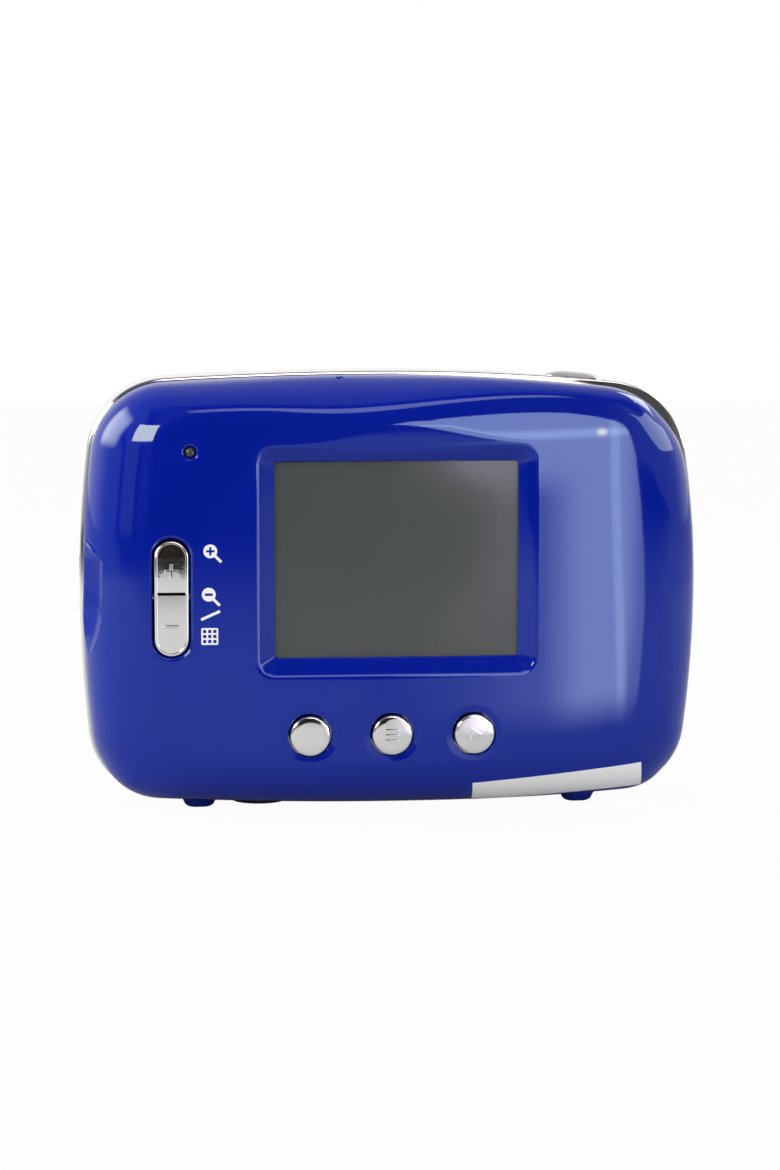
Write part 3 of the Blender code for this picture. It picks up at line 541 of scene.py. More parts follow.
class Graph:
    """A shader's node tree, emptied and then filled by adding nodes."""

    def __init__(self, tree: bpy.types.NodeTree) -> None:
        """Starts from an empty tree."""
        self.tree = tree
        tree.nodes.clear()

    def add(
        self,
        kind: str,
        settings: Optional[dict] = None,
        inputs: Optional[dict] = None,
        output: Union[int, str, None] = 0,
    ) -> Optional[Value]:
        """Adds one node.

        Args:
            kind: Type of the node.
            settings: Its properties, set before its sockets.
            inputs: Values or links of its sockets, by name or number.
            output: The socket to return, or None for a node that ends the tree.

        Returns:
            The chosen output as a value.
        """
        node = self.tree.nodes.new(kind)
        for name, setting in (settings or {}).items():
            setattr(node, name, setting)
        for name, value in (inputs or {}).items():
            if isinstance(value, Value):
                self.tree.links.new(value.socket, node.inputs[name])
            else:
                node.inputs[name].default_value = value
        return None if output is None else Value(self, node.outputs[output])

    def mix(self, share: Input, first: Input, second: Input, clamp: bool = True) -> Value:
        """Mixes two colours; without clamp the share may pass 1."""
        settings = {"data_type": "RGBA", "clamp_factor": clamp}
        return self.add("ShaderNodeMix", settings, {0: share, 6: first, 7: second}, 2)

    def noise(self, place: Value, size: float, detail: float = 2.0) -> Value:
        """Cloudy noise with lumps of about a size in the place's unit."""
        return self.add("ShaderNodeTexNoise", {}, {"Vector": place, "Scale": 1 / size, "Detail": detail})

    def ramp(self, value: Value, low: float, high: float) -> Value:
        """Value stretched to run smoothly from 0 at low to 1 at high."""
        limits = {"Value": value, "From Min": low, "From Max": high}
        return self.add("ShaderNodeMapRange", {"interpolation_type": "SMOOTHSTEP"}, limits)

    def stretched(self, place: Value, scale: Point) -> Value:
        """Place scaled along each axis."""
        return self.add("ShaderNodeVectorMath", {"operation": "MULTIPLY"}, {0: place, 1: scale})

    def parts(self, place: Value) -> tuple[Value, Value, Value]:
        """X, Y and Z of a place."""
        split = self.add("ShaderNodeSeparateXYZ", {}, {0: place})
        return tuple(Value(self, socket) for socket in split.socket.node.outputs)

    def place(self) -> Value:
        """Position on the object in millimetres."""
        metres = self.add("ShaderNodeTexCoord", {}, {}, "Object")
        return self.stretched(metres, (1 / MM,) * 3)

    def emission(self, colour: Input, strength: float = 1.0) -> Value:
        """Light of a colour."""
        return self.add("ShaderNodeEmission", {}, {"Color": colour, "Strength": strength})

    def end(self, kind: str, surface: Value) -> None:
        """Ends the tree in an output for a kind of shader."""
        self.add(f"ShaderNodeOutput{kind}", {}, {"Surface": surface}, None)


def new_material(name: str) -> tuple[bpy.types.Material, Graph]:
    """New material with its empty graph."""
    made = bpy.data.materials.new(name)
    made.use_nodes = True
    return made, Graph(made.node_tree)


def rgba(colour: Colour, level: float = 1.0) -> tuple[float, float, float, float]:
    """Colour at a level, with full opacity."""
    return (*[min(1.0, part * level) for part in colour], 1.0)


def grey(level: float) -> tuple[float, float, float, float]:
    """Grey of a level, with full opacity."""
    return rgba((level,) * 3)


class Detail(Enum):
    """Surface detail that a finish carries beyond its mottle and grain."""

    PLAIN = "plain"
    SANDED = "sanded"
    BRUSHED = "brushed"
    TRACES = "traces"
    PIXELS = "pixels"
    MASKED = "masked"
    SLEEVE = "sleeve"
    PAPER = "paper"


@dataclass(frozen=True)
class Finish:
    """A surface finish and the record's slot that it belongs to.

    mottle is the share by which the colour varies, smudge the range of the roughness, and grain the height of
    the moulded texture; the sizes beside them are in millimetres.
    """

    name: str
    slot: str
    colour: Colour
    roughness: float
    metallic: float = 0.0
    alpha: float = 1.0
    coat: float = 0.0
    sheen_tint: Colour = (1.0, 1.0, 1.0)
    mottle: float = 0.05
    mottle_size: float = 9.0
    smudge: float = 0.03
    smudge_size: float = 5.0
    grain: float = 0.0
    grain_size: float = 0.3
    detail: Detail = Detail.PLAIN

    def material(self) -> bpy.types.Material:
        """The finish's material, made once."""
        found = bpy.data.materials.get(self.name)
        if found:
            return found
        made, graph = new_material(self.name)
        place = graph.place()
        cloud = graph.noise(place, self.mottle_size, 3.0)
        sockets = {
            "Base Color": graph.mix(
                cloud, rgba(self.colour, 1 - self.mottle), rgba(self.colour, 1 + self.mottle)
            ),
            "Roughness": self.roughness + (graph.noise(place, self.smudge_size, 4.0) - 0.5) * self.smudge,
            "Metallic": self.metallic,
            "Alpha": self.alpha,
            "Coat Weight": self.coat,
            "Specular Tint": (*self.sheen_tint, 1.0),
        }
        height = graph.noise(place, self.grain_size, 2.0)
        height = self.add_detail(graph, place, sockets, height)
        if self.grain:
            bump = {"Height": height, "Distance": self.grain * MM, "Strength": 1.0}
            sockets["Normal"] = graph.add("ShaderNodeBump", {}, bump)
        graph.end("Material", graph.add("ShaderNodeBsdfPrincipled", {}, sockets))
        return made

    def add_detail(self, graph: Graph, place: Value, sockets: dict, height: Value) -> Value:
        """Adds what this finish's detail does to the sockets.

        Args:
            graph: The material's nodes.
            place: Position on the object in millimetres.
            sockets: The shader's inputs, changed in place.
            height: The grain's height.

        Returns:
            The height that the bump takes.
        """
        x, _, z = graph.parts(place)
        colour = sockets["Base Color"]
        if self.detail is Detail.SANDED:
            upper = graph.ramp(z, ZOOM_GROOVE_Z + 0.3, ZOOM_GROOVE_Z + 6.0)
            across, up = x - ZOOM_X, z - ZOOM_GROOVE_Z
            # Painted shade: a dark brown band in the base colour along the rocker's groove stands in for the
            # shade that falls in it.
            groove = graph.ramp(up * up, 0.045, 0.02) * graph.ramp(across * across, 1.96**2, 1.9**2)
            sockets["Base Color"] = graph.mix(groove, colour, rgba((0.07, 0.05, 0.04)))
            sockets["Roughness"] += 0.05 * upper
            return height * upper
        if self.detail is Detail.BRUSHED:
            streaks = graph.noise(graph.stretched(place, (0.4, 6.0, 0.4)), 1.0, 3.0)
            sockets["Roughness"] += (streaks - 0.5) * 0.2
            return streaks
        if self.detail is Detail.TRACES:
            cells = {"Vector": place, "Scale": 0.42}
            edge = graph.add("ShaderNodeTexVoronoi", {"feature": "DISTANCE_TO_EDGE"}, cells)
            dots = graph.add("ShaderNodeTexVoronoi", {}, {"Vector": place, "Scale": 0.5, "Randomness": 0.6})
            track = edge < 0.07
            pad = dots < 0.14
            colour = graph.mix(track, colour, rgba(self.colour, 1.9))
            sockets["Base Color"] = graph.mix(pad, colour, rgba((0.75, 0.62, 0.36)))
            sockets["Metallic"] = pad
            return track + pad
        if self.detail is Detail.PIXELS:
            dot = graph.add("ShaderNodeTexWave", {"bands_direction": "X"}, {"Vector": place, "Scale": 1.8})
            row = graph.add("ShaderNodeTexWave", {"bands_direction": "Z"}, {"Vector": place, "Scale": 1.8})
            sockets["Base Color"] = graph.mix(dot * row * 0.35, colour, rgba(self.colour, 0.6))
            return height
        if self.detail is Detail.MASKED:
            across = x - LENS_CENTRE[0]
            up = z - LENS_CENTRE[1]
            outside = graph.ramp(across * across + up * up, LENS_CLEAR_RADIUS**2 - 0.5, LENS_CLEAR_RADIUS**2)
            sockets["Alpha"] = self.alpha + (1 - self.alpha) * outside
            return height
        if self.detail is Detail.SLEEVE:
            cap = graph.ramp(z, 34.0, 34.2)
            line = graph.ramp(z, 32.6, 32.7) - graph.ramp(z, 33.1, 33.2)
            colour = graph.mix(cap, colour, rgba((0.62, 0.34, 0.12)))
            sockets["Base Color"] = graph.mix(line, colour, rgba((0.7, 0.7, 0.68)))
            sockets["Metallic"] = self.metallic + cap * 0.7
            return height
        if self.detail is Detail.PAPER:
            fibres = graph.noise(graph.stretched(place, (0.6, 3.0, 3.0)), 0.35, 5.0)
            sockets["Base Color"] = graph.mix(fibres * 0.3, colour, rgba(self.colour, 0.86))
            return fibres
        return height


BLUE_GLOSS = Finish(
    "blue_gloss_plastic", "blue_gloss", (0.002, 0.0115, 0.29), 0.045, sheen_tint=(0.72, 1.0, 1.0),
    mottle=0.03, smudge=0.015, grain=0.0004, grain_size=2.4,
)
BLUE_RUBBER = Finish(
    "blue_rubber", "blue_rubber", (0.003, 0.012, 0.2), 0.5, mottle=0.1, smudge=0.12, grain=0.012,
    grain_size=0.25,
)
CHROME = Finish(
    "chrome_plating", "chrome", (0.88, 0.865, 0.855), 0.07, 1.0, mottle=0.02, smudge=0.05, grain=0.0006,
    grain_size=1.6,
)
# The rocker's chrome; its detail also paints shade into the groove.
CHROME_SANDED = Finish(
    "chrome_rocker", "chrome", (0.88, 0.865, 0.845), 0.08, 1.0, mottle=0.03, smudge=0.05, grain=0.022,
    grain_size=0.2, detail=Detail.SANDED,
)
STEEL = Finish(
    "brushed_steel", "steel", (0.56, 0.56, 0.57), 0.3, 1.0, mottle=0.06, smudge=0.1, grain=0.003,
    detail=Detail.BRUSHED,
)
BRASS = Finish("brass_disc", "brass", (0.72, 0.52, 0.25), 0.3, 1.0, mottle=0.1, smudge=0.12, grain=0.002)
BLACK_PLASTIC = Finish(
    "black_plastic", "black_plastic", (0.018, 0.018, 0.019), 0.42, mottle=0.2, smudge=0.12, grain=0.012,
    grain_size=0.35,
)
WHITE_PLASTIC = Finish(
    "white_plastic", "white_plastic", (0.78, 0.78, 0.75), 0.45, mottle=0.04, smudge=0.1, grain=0.006
)
WHITE_INK = Finish(
    "white_ink", "white_plastic", (0.86, 0.86, 0.85), 0.4, mottle=0.03, smudge=0.1, grain=0.002,
    grain_size=0.1,
)
LABEL_PAPER = Finish(
    "label_paper", "white_plastic", (1.0, 0.985, 0.975), 0.5, mottle=0.02, grain=0.004, detail=Detail.PAPER
)
CLEAR_PLASTIC = Finish(
    "clear_plastic", "clear_plastic", (0.7, 0.72, 0.73), 0.06, alpha=0.35, mottle=0.03, smudge=0.04
)
SMOKED_LIGHT = Finish(
    "smoked_light", "clear_plastic", (0.05, 0.052, 0.05), 0.1, alpha=0.85, mottle=0.2, mottle_size=0.6,
    smudge=0.1,
)
SCREEN_COVER = Finish(
    "screen_cover", "clear_plastic", (0.118, 0.131, 0.127), 0.14, alpha=0.45, mottle=0.03, smudge=0.04
)
LENS_COVER = Finish(
    "lens_cover", "clear_plastic", (0.006, 0.006, 0.007), 0.05, alpha=0.12, smudge=0.03, detail=Detail.MASKED
)
SCREEN_GLASS = Finish(
    "screen_panel", "screen_glass", (0.104, 0.114, 0.111), 0.25, mottle=0.03, smudge=0.05,
    detail=Detail.PIXELS,
)
LENS_GLASS = Finish(
    "lens_glass", "lens_glass", (0.05, 0.045, 0.11), 0.03, coat=1.0, mottle=0.3, mottle_size=3.0, smudge=0.02
)
CIRCUIT_BOARD = Finish(
    "circuit_board", "circuit_board", (0.02, 0.16, 0.06), 0.38, mottle=0.1, grain=0.02, detail=Detail.TRACES
)
CELL_SLEEVE = Finish(
    "cell_sleeve", "cell_wrap", (0.03, 0.03, 0.033), 0.3, mottle=0.1, smudge=0.08, grain=0.003,
    detail=Detail.SLEEVE,
)


@dataclass
class Piece:
    """One visible piece: its object, its finish, the body it moves with and the node it stands for."""

    made: bpy.types.Object
    finish: Finish
    body: str
    node: Optional[str]


@dataclass
class SubAssembly:
    """Pieces that are built together and then dressed with their finishes."""

    pieces: list[Piece] = field(default_factory=list, init=False)

    def add(self, name: str, mesh: Mesh, finish: Finish) -> None:
        """Makes a mesh into a piece, which stands for the node and moves with the body of its name.

        Args:
            name: The piece's name; one without a node is added to the camera's own body.
            mesh: Its mesh.
            finish: Its finish.
        """
        mesh.name = f"{name}_dressed"
        made = linked(mesh.name, mesh)
        body = name if name in frame["bodies"] else BODY
        node = name if name in frame["nodes"] else None
        self.pieces.append(Piece(made, finish, body, node))

    def build(self) -> None:
        """Builds the meshes."""
        raise NotImplementedError

    def dress(self) -> None:
        """Gives each piece its material and its body, and hides the node that it stands for."""
        for piece in self.pieces:
            piece.made.data.materials.clear()
            piece.made.data.materials.append(piece.finish.material())
            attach(piece.made, piece.body)
            if piece.node:
                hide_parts(piece.node)
            log.info("%s: finish %s, on %s", piece.made.name, piece.finish.name, piece.body)


@dataclass
class RearKeys(SubAssembly):
    """Three round chrome keys under the screen, one bare, one with menu bars and one with a play mark."""

    x: dict[str, float] = field(default_factory=lambda: {"left": -12.56, "menu": -0.79, "playback": 11.05})
    z: float = 11.3
    radius: float = 2.87
    face_y: float = -16.74
    crown: float = 0.0135
    mark_rise: float = 0.035
    hole_radius: float = 3.1
    lip: float = 1.1

    def path(self) -> Path:
        """Profile of a key, from its stem to the middle of its face."""
        low = eased(
            (1.2, -11.25, 0.0), (1.2, -13.0, 0.15), (3.45, -13.0, 0.1), (3.45, -13.6, 0.1),
            (self.radius, -13.6, 0.1), (self.radius, self.face_y + 0.1, 0.35),
            (self.radius - 1.0, self.face_y, 0.0),
        )
        rim = self.radius - 1.0
        face = [(rim * (1 - k / 6) + 0.02, self.face_at(rim * (1 - k / 6))) for k in range(1, 7)]
        return low[:-1] + [(rim, self.face_at(rim))] + face

    def face_at(self, radius: float) -> float:
        """Depth of the crowned face at a radius."""
        return self.face_y + self.crown * radius**2

    def marks(self, name: str) -> Optional[Solid]:
        """Raised mark on a key's face, or None for a bare key."""
        x = self.x[name]
        solid = Solid()

        def raised(outline: Callable[[float], Path], inset: float, lift: float) -> Ring:
            """Ring of an outline at a lift over the crowned face."""
            return [(u, self.face_at(math.dist((u, v), (x, self.z))) + lift, v) for u, v in outline(inset)]

        if name == "menu":
            for offset in (-0.75, 0.0, 0.75):
                bar = shrinking((x, self.z + offset), (1.05, 0.16), 0.15, 4)
                steps = ((0.0, 0.15), (0.0, -0.5 * self.mark_rise), (0.06, -self.mark_rise))
                solid.loft([raised(bar, inset, lift) for inset, lift in steps])
            return solid
        if name == "playback":
            def triangle(inset: float) -> Path:
                """Play triangle moved in by inset."""
                corners = [cmath.rect(1.25 - 2 * inset, 2 * math.pi * k / 3) for k in range(3)]
                return eased(
                    *[(x - 0.1 + c.real, self.z + c.imag, 0.2) for c in corners], closed=True, steps=3
                )

            rise = self.mark_rise
            half = rise / 2
            steps = ((0.0, 0.15), (0.0, -half), (0.05, -rise), (0.2, -rise), (0.25, -half), (0.25, 0.15))
            solid.loft([raised(triangle, inset, lift) for inset, lift in steps], wrap=True)
            return solid
        return None

    def build(self) -> None:
        """Builds the keys with their marks."""
        for name, x in self.x.items():
            mesh = Solid().turned(Axis.Y, (x, self.z), self.path()).mesh()
            mark = self.marks(name)
            if mark:
                mesh = carve(mesh, Cut.JOIN, mark)
            self.add(f"{name}_button", mesh, CHROME)

    def holes(self, solid: Solid) -> None:
        """Adds the holes that the keys need in the shell, with rounded lips."""
        wide = self.hole_radius + self.lip
        path = [(wide + 1.5, BACK_Y - 0.3)] + eased(
            (wide + 0.7, BACK_Y - 0.1, 0.0), (wide - 0.3, BACK_Y + 0.03, 0.6),
            (self.hole_radius, BACK_Y + 0.15, 0.16), (self.hole_radius, -12.6, 0.0), steps=8,
        )
        for x in self.x.values():
            solid.turned(Axis.Y, (x, self.z), path)


@dataclass
class ZoomRocker(SubAssembly):
    """Pill-shaped chrome rocker: two faces that fall away from a groove, inside a raised rim."""

    centre: Pair = (ZOOM_X, ZOOM_Z)
    groove_z: float = ZOOM_GROOVE_Z - ZOOM_Z
    half: Pair = (2.4, 8.2)
    clearance: float = 0.24
    lip: float = 0.5
    back_y: float = -11.9
    face_y: float = -16.74
    lean: float = 0.065
    fall: Pair = (0.0078, 0.003)
    top_fall: float = 0.014
    groove: Pair = (0.22, 0.3)
    rim: float = 0.42
    rim_step: float = 0.13
    stem_offset: float = 5.5
    row_steps: int = 14

    def rows(self, inset: float) -> Path:
        """Half widths of the pill at heights from its bottom to its top, moved in by inset."""
        radius = self.half[0] - inset
        straight = self.half[1] - self.half[0]
        turns = [math.pi / 2 * k / self.row_steps for k in range(self.row_steps + 1)]
        cap = [(max(radius * math.cos(a), 0.03), straight + radius * math.sin(a)) for a in turns]
        near_groove = [self.groove_z + self.groove[0] * step for step in (-2, -1, 0, 1, 2)]
        sides = [straight * share for share in (-0.66, -0.33, 0.33, 0.66)]
        middle = [(radius, z) for z in sorted(near_groove + sides)]
        return [(width, -z) for width, z in reversed(cap)] + middle + cap

    def face_at(self, z: float, grooved: bool = True) -> float:
        """Depth of the faces at a height from the centre, or of the rim, which has no groove."""
        width, depth = self.groove
        up = z - self.groove_z
        dip = depth * max(0.0, 1 - abs(up) / width) if grooved else 0.0
        upper, lower = self.fall
        slope = lower * up * up
        if up > 0:
            slope = upper * up * up - self.lean * up + self.top_fall * max(0.0, up - 3.0) ** 2
        return self.face_y + slope + dip

    def ring(self, inset: float, lift: float, flat_y: Optional[float] = None) -> Ring:
        """Ring of the pill, at a flat depth or at a lift behind the faces."""
        rows = self.rows(inset)
        right = [(self.centre[0] + width, z) for width, z in rows]
        left = [(self.centre[0] - width, z) for width, z in reversed(rows)]
        ring = []
        for x, z in right + left:
            y = self.face_at(z, inset >= self.rim) + lift if flat_y is None else flat_y
            ring.append((x, y, self.centre[1] + z))
        return ring

    def build(self) -> None:
        """Builds the rocker with its rim, groove, stems and raised plus and minus."""
        edge = eased(
            (0.0, 0.9, 0.0), (0.0, 0.0, 0.22), (self.rim, 0.0, 0.1), (self.rim, self.rim_step, 0.06), steps=4
        )
        edge.append((self.rim + 0.1, self.rim_step))
        rings = [self.ring(0.0, 0.0, self.back_y), self.ring(0.0, 0.0, self.face_y + 1.6)]
        rings += [self.ring(inset, lift) for inset, lift in edge]
        mesh = Solid().loft(rings, ladder=True).mesh()
        self.add("zoom_rocker", carve(mesh, Cut.JOIN, self.marks()), CHROME_SANDED)

    def marks(self) -> Solid:
        """Stems behind the rocker, and the raised plus and minus on its faces."""
        solid = Solid()
        x = self.centre[0]
        for side in (-1, 1):
            stem = (x, self.centre[1] + side * self.stem_offset)
            path = eased((1.1, self.back_y - 0.4, 0), (1.1, -11.25, 0.2), (0.1, -11.25, 0))
            solid.turned(Axis.Y, stem, path, 24)
        thick, long = 0.22, 1.0
        place = self.stem_offset * 0.72
        y = self.face_at(place) + self.rim_step
        rise = [(0.0, y + 0.2), (0.0, y - 0.02), (0.11, y - 0.14)]
        solid.stack(Axis.Y, cross((x, self.centre[1] + place), long, thick), rise)
        solid.stack(Axis.Y, shrinking((x, self.centre[1] - place), (long, thick), 0.12, 3), rise)
        return solid

    def hole(self, solid: Solid) -> None:
        """Adds the slot that the rocker needs in the shell, with a rounded lip."""
        slot = (self.half[0] + self.clearance, self.half[1] + self.clearance)
        path = [(-self.lip - 1.2, BACK_Y - 0.32)] + eased(
            (-self.lip - 0.5, BACK_Y - 0.1, 0.0), (0.0, BACK_Y + 0.12, self.lip), (0.0, -12.0, 0.0), steps=8
        )
        solid.stack(Axis.Y, shrinking(self.centre, slot, slot[0], 18), path)


@dataclass
class RearShell(SubAssembly):
    """Blue back casing: a crowned skin with a creased top, a screen bezel, holes, a scoop and feet."""

    keys: RearKeys = field(default_factory=RearKeys)
    rocker: ZoomRocker = field(default_factory=ZoomRocker)
    edge_top: Pair = (5.0, 2.0)
    crease_run: Pair = (-10.0, 26.0)
    crease_fade: tuple[Pair, Pair] = ((-27.0, -6.0), (24.0, 36.0))
    droop: float = 0.9
    side_crease: float = 0.49
    side_bulge: float = 0.24
    side_fade: Pair = (26.0, 34.0)
    crease_break: float = math.radians(15)
    crease_width: float = 0.75
    shoulder: float = 3.2
    shoulder_slope: float = 0.17
    roll_start: float = 13.0
    roll: float = 3.0 / 24.0**2
    least_wall: float = 0.8
    rim_soft: float = 0.22
    draft: float = 0.1
    bottom_depth: float = 6.2
    top_depth: Pair = (1.9, 1.5)
    bevel_y: float = -14.35
    edge_steps: int = 22
    flat_steps: int = 14
    halvings: int = 24
    near_crease: tuple[float, ...] = (-0.03, -0.012, -0.004, 0.0, 0.004, 0.012, 0.03)
    bezel_soft: float = 0.5
    most_soft: float = 1.1
    flare: float = 3.4
    flare_place: Pair = (3.0, 9.5)
    led: Pair = LED_PLACE
    led_hole: float = 0.8
    microphone: Pair = (-7.6, -9.0)
    feet: tuple[Pair, ...] = ((-28.1, -7.5), (27.3, -7.5))
    foot_half: Pair = (2.85, 2.4)
    foot_path: tuple[Point, ...] = (
        (2.3, 0.0, 0), (1.0, 0.0, 0.7), (0.6, 0.7, 0.4), (0.45, 1.1, 0.25), (0.0, 1.5, 0.3), (0.0, 3.4, 0)
    )
    lip: tuple[Pair, Pair] = ((-44.5, 39.7), (-42.1, 36.9))
    lip_radius: float = 0.5
    scoop_rows: tuple[Point, ...] = (
        (20.5, -2.6, 0.0), (23.0, -1.6, 0.0), (25.5, -0.7, 0.0), (28.0, -0.15, 0.0), (31.0, 0.0, 0.1),
        (35.0, 0.1, 0.6), (36.1, 0.1, 1.1), (36.4, -0.5, 1.2), (36.7, -1.6, 1.2),
    )
    skin: Optional[Mesh] = field(default=None, init=False)

    def top_edge(self, x: float) -> float:
        """Width of the rounded top edge at x."""
        wide, narrow = self.edge_top
        return wide + (narrow - wide) * smooth(x, *self.crease_run)

    def crease_z(self, x: float) -> float:
        """Height of the crease at x."""
        across = x - FLAT.x
        cap_radius = FLAT.top_right[1] if across > 0 else FLAT.top_left[1]
        return FLAT.z + FLAT.top - across**2 / (2 * cap_radius) + self.crease_lift(x)

    def crease_lift(self, x: float) -> float:
        """How far the crease at x lies above the flat's outline; it droops at its right end."""
        return self.edge_top[0] - self.top_edge(x) - self.droop * smooth(x, *self.crease_fade[1])

    def crease_share(self, x: float) -> float:
        """Strength of the crease at x, which fades out towards both corners."""
        (start, full), (fading, end) = self.crease_fade
        return smooth(x, start, full) * (1 - smooth(x, fading, end))

    def fall(self, x: float, z: float) -> float:
        """How far the back falls away from flat: a roll on the right and a shoulder under the crease."""
        rolled = self.roll * max(0.0, x - self.roll_start) ** 2
        over = max(0.0, z - self.crease_z(x) + self.shoulder)
        return rolled + self.crease_share(x) * self.shoulder_slope / (2 * self.shoulder) * over**2

    def edge_depth(self, x: float, normal: Pair) -> float:
        """Depth of the rounded edge at an outline point."""
        side = REAR_PARTING - BACK_Y - self.least_wall
        cap = self.bottom_depth
        if normal[1] > 0:
            slope, start = self.top_depth
            cap = min(side, slope * self.top_edge(x) + start)
        across, up = normal[0] ** 4, normal[1] ** 4
        return (side * across + cap * up) / (across + up)

    def flat_spot(self, spot: Pair, normal: Pair) -> Pair:
        """Point of the flat's outline, lifted to the crease along the top."""
        lift = self.crease_lift(spot[0])
        return spot[0], spot[1] + lift * smooth(normal[1], 0.1, 0.9)

    def bulge(self, spot: Pair, normal: Pair, out: float) -> float:
        """Height of the left edge's low swelling, which ends in a crease, at a share of the edge's width."""
        height = self.side_bulge * smooth(-normal[0], 0.45, 0.9) * smooth(spot[1], *self.side_fade)
        if out < self.side_crease:
            return height * (out / self.side_crease) ** 2
        return height * (1 - out) / (1 - self.side_crease)

    def edge(self, spot: Pair, normal: Pair, flat: Pair) -> Callable[[float], Vector]:
        """Curve of the rounded edge in one column.

        Args:
            spot: Point on the shell's outline.
            normal: Outward normal there.
            flat: Matching point of the flat's outline.

        Returns:
            A function from a share, 0 at the wall and 1 at the crease, to a point.
        """
        start = Vector(spot) - Vector(normal) * self.draft
        width = math.dist(start, flat)
        tilt = self.crease_break * smooth(normal[1], 0.8, 0.98) * self.crease_share(spot[0])
        depth = REAR_PARTING - BACK_Y
        reach = depth - self.fall(*flat)
        wall = max(self.least_wall, reach - self.edge_depth(spot[0], normal))
        last = math.atan2(reach - wall, width * math.tan(tilt)) if tilt > 0 else math.pi / 2

        def point(share: float) -> Vector:
            """Point of the edge at a share of its turn."""
            inset = (1 - math.cos(last * share)) / (1 - math.cos(last))
            rise = math.sin(last * share) / math.sin(last)
            x, z = start.lerp(Vector(flat), inset)
            y = REAR_PARTING - wall - (depth - wall - self.fall(x, z)) * rise
            return Vector((x, y - self.bulge(spot, normal, 1 - inset), z))

        return point

    def crease_share_at(self) -> float:
        """Share of the left edge's turn at which its crease lies."""
        return math.acos(self.side_crease) / (math.pi / 2)

    def back_point(self, x: float, z: float) -> Vector:
        """Point of the back's flat at a place."""
        return Vector((x, BACK_Y + self.fall(x, z), z))

    def column(self, spot: Pair, normal: Pair, flat: Pair, bezel: Point, opening: Point) -> list[Vector]:
        """One line of points from the parting edge over the back to the screen, and back inside.

        Args:
            spot: Point on the shell's outline.
            normal: Outward normal there.
            flat: Matching point of the flat's outline.
            bezel: Matching point of the bezel's outline.
            opening: Matching point of the screen opening.

        Returns:
            The points, equally many for every column.
        """
        rim = Vector((spot[0], REAR_PARTING, spot[1]))
        inward = Vector((-normal[0], 0, -normal[1]))
        back = Vector((0, -1, 0))
        points = bend(rim + inward * self.rim_soft, rim, rim + back * self.rim_soft, 3)
        edge = self.edge(spot, normal, flat)
        corner = edge(1.0)
        hem = self.back_point(bezel[0], bezel[2])
        lead = (hem - corner).normalized() * self.crease_width
        after = self.back_point(corner.x + lead.x, corner.z + lead.z)
        start, end = 0.0, 1.0
        for _ in range(self.halvings):
            middle = (start + end) / 2
            if (edge(middle) - corner).length > self.crease_width:
                start = middle
            else:
                end = middle
        near_crease = [self.crease_share_at() + offset for offset in self.near_crease]
        shares = sorted(near_crease + [start * k / self.edge_steps for k in range(self.edge_steps)])
        points += [edge(share) for share in shares]
        points += bend(edge(start), corner, after, 5)
        soft = self.bezel_softness(bezel)
        flat_end = hem + (corner - hem).normalized() * soft
        for k in range(1, self.flat_steps):
            spot_on = after.lerp(flat_end, k / self.flat_steps)
            points.append(self.back_point(spot_on.x, spot_on.z))
        flat_end = self.back_point(flat_end.x, flat_end.z)
        foot = Vector((opening[0], self.bevel_y, opening[2]))
        on_bevel = hem + (foot - hem).normalized() * min(soft, self.most_soft)
        points += bend(flat_end, hem, on_bevel, 7)
        sill = foot + Vector((0, BACK_INNER_Y - self.bevel_y, 0))
        points += bend(foot.lerp(on_bevel, 0.12), foot, foot.lerp(sill, 0.4), 3) + [sill]
        return points + self.inside(spot, normal, math.dist(spot, flat), bezel)

    def bezel_softness(self, bezel: Point) -> float:
        """How far from its edge the bezel's bevel starts: it flares up above the screen."""
        above = smooth(bezel[2], BEZEL.z + BEZEL.top - 0.8, BEZEL.z + BEZEL.top)
        middle, spread = self.flare_place
        return self.bezel_soft + self.flare * above * math.exp(-(((bezel[0] - middle) / spread) ** 2))

    def inside(self, spot: Pair, normal: Pair, width: float, bezel: Point) -> list[Vector]:
        """Points of the inner surface in one column, from the bezel to the parting edge."""
        depth = REAR_PARTING - BACK_INNER_Y
        points = []
        for k in range(7):
            turn = math.pi / 2 * k / 6
            inset = WALL + width * (1 - math.cos(turn))
            x = spot[0] - normal[0] * inset
            z = spot[1] - normal[1] * inset
            points.append(Vector((x, REAR_PARTING - (depth - self.fall(x, z)) * math.sin(turn), z)))
        hem = Vector((bezel[0], BACK_INNER_Y + self.fall(bezel[0], bezel[2]), bezel[2]))
        return [hem] + points[::-1]

    def scoop_lip(self) -> Solid:
        """Half-round lip along the scoop's slanted top."""
        tree = search_tree(self.skin)
        (start, end), radius, steps = self.lip, self.lip_radius, 8
        rings = []
        for k in range(steps + 1):
            share = k / steps
            x, z = Vector(start).lerp(Vector(end), share)
            spot, outward = cast_back(tree, x, z)
            across = outward.cross(Vector((end[0] - start[0], 0, end[1] - start[1]))).normalized()
            near = radius * (0.35 + 0.65 * math.sin(math.pi * (0.1 + 0.8 * share)))
            middle = spot - outward * (0.34 - 0.3 * math.sin(math.pi * share)) - across * 0.3
            turns = [2 * math.pi * (turn + 0.4) / 16 for turn in range(16)]
            rings.append(
                [tuple(middle + (outward * math.cos(a) + across * math.sin(a)) * near) for a in turns]
            )
        return Solid().loft(rings)

    def scoop(self) -> Solid:
        """Cutter of the finger scoop on the left edge: deep at its slanted top, fading downwards."""
        outside = -50.0
        front_y, rear_y = REAR_PARTING + 1.0, -13.0
        rings = []
        for z, shift, slant in self.scoop_rows:
            corners = (
                (outside, front_y, 0), (-44.66 + shift, front_y, 0), (-44.6 + shift, -6.3, 0.5),
                (-42.0 + shift, -9.4, 1.0), (-41.85 + shift, rear_y, 0.3), (outside, rear_y - 1.2, 0),
            )
            path = eased(*corners, closed=True, steps=6)
            rings.append([(x, y, z + slant * max(0.0, -42.2 - x)) for x, y in path])
        return Solid().loft(rings)

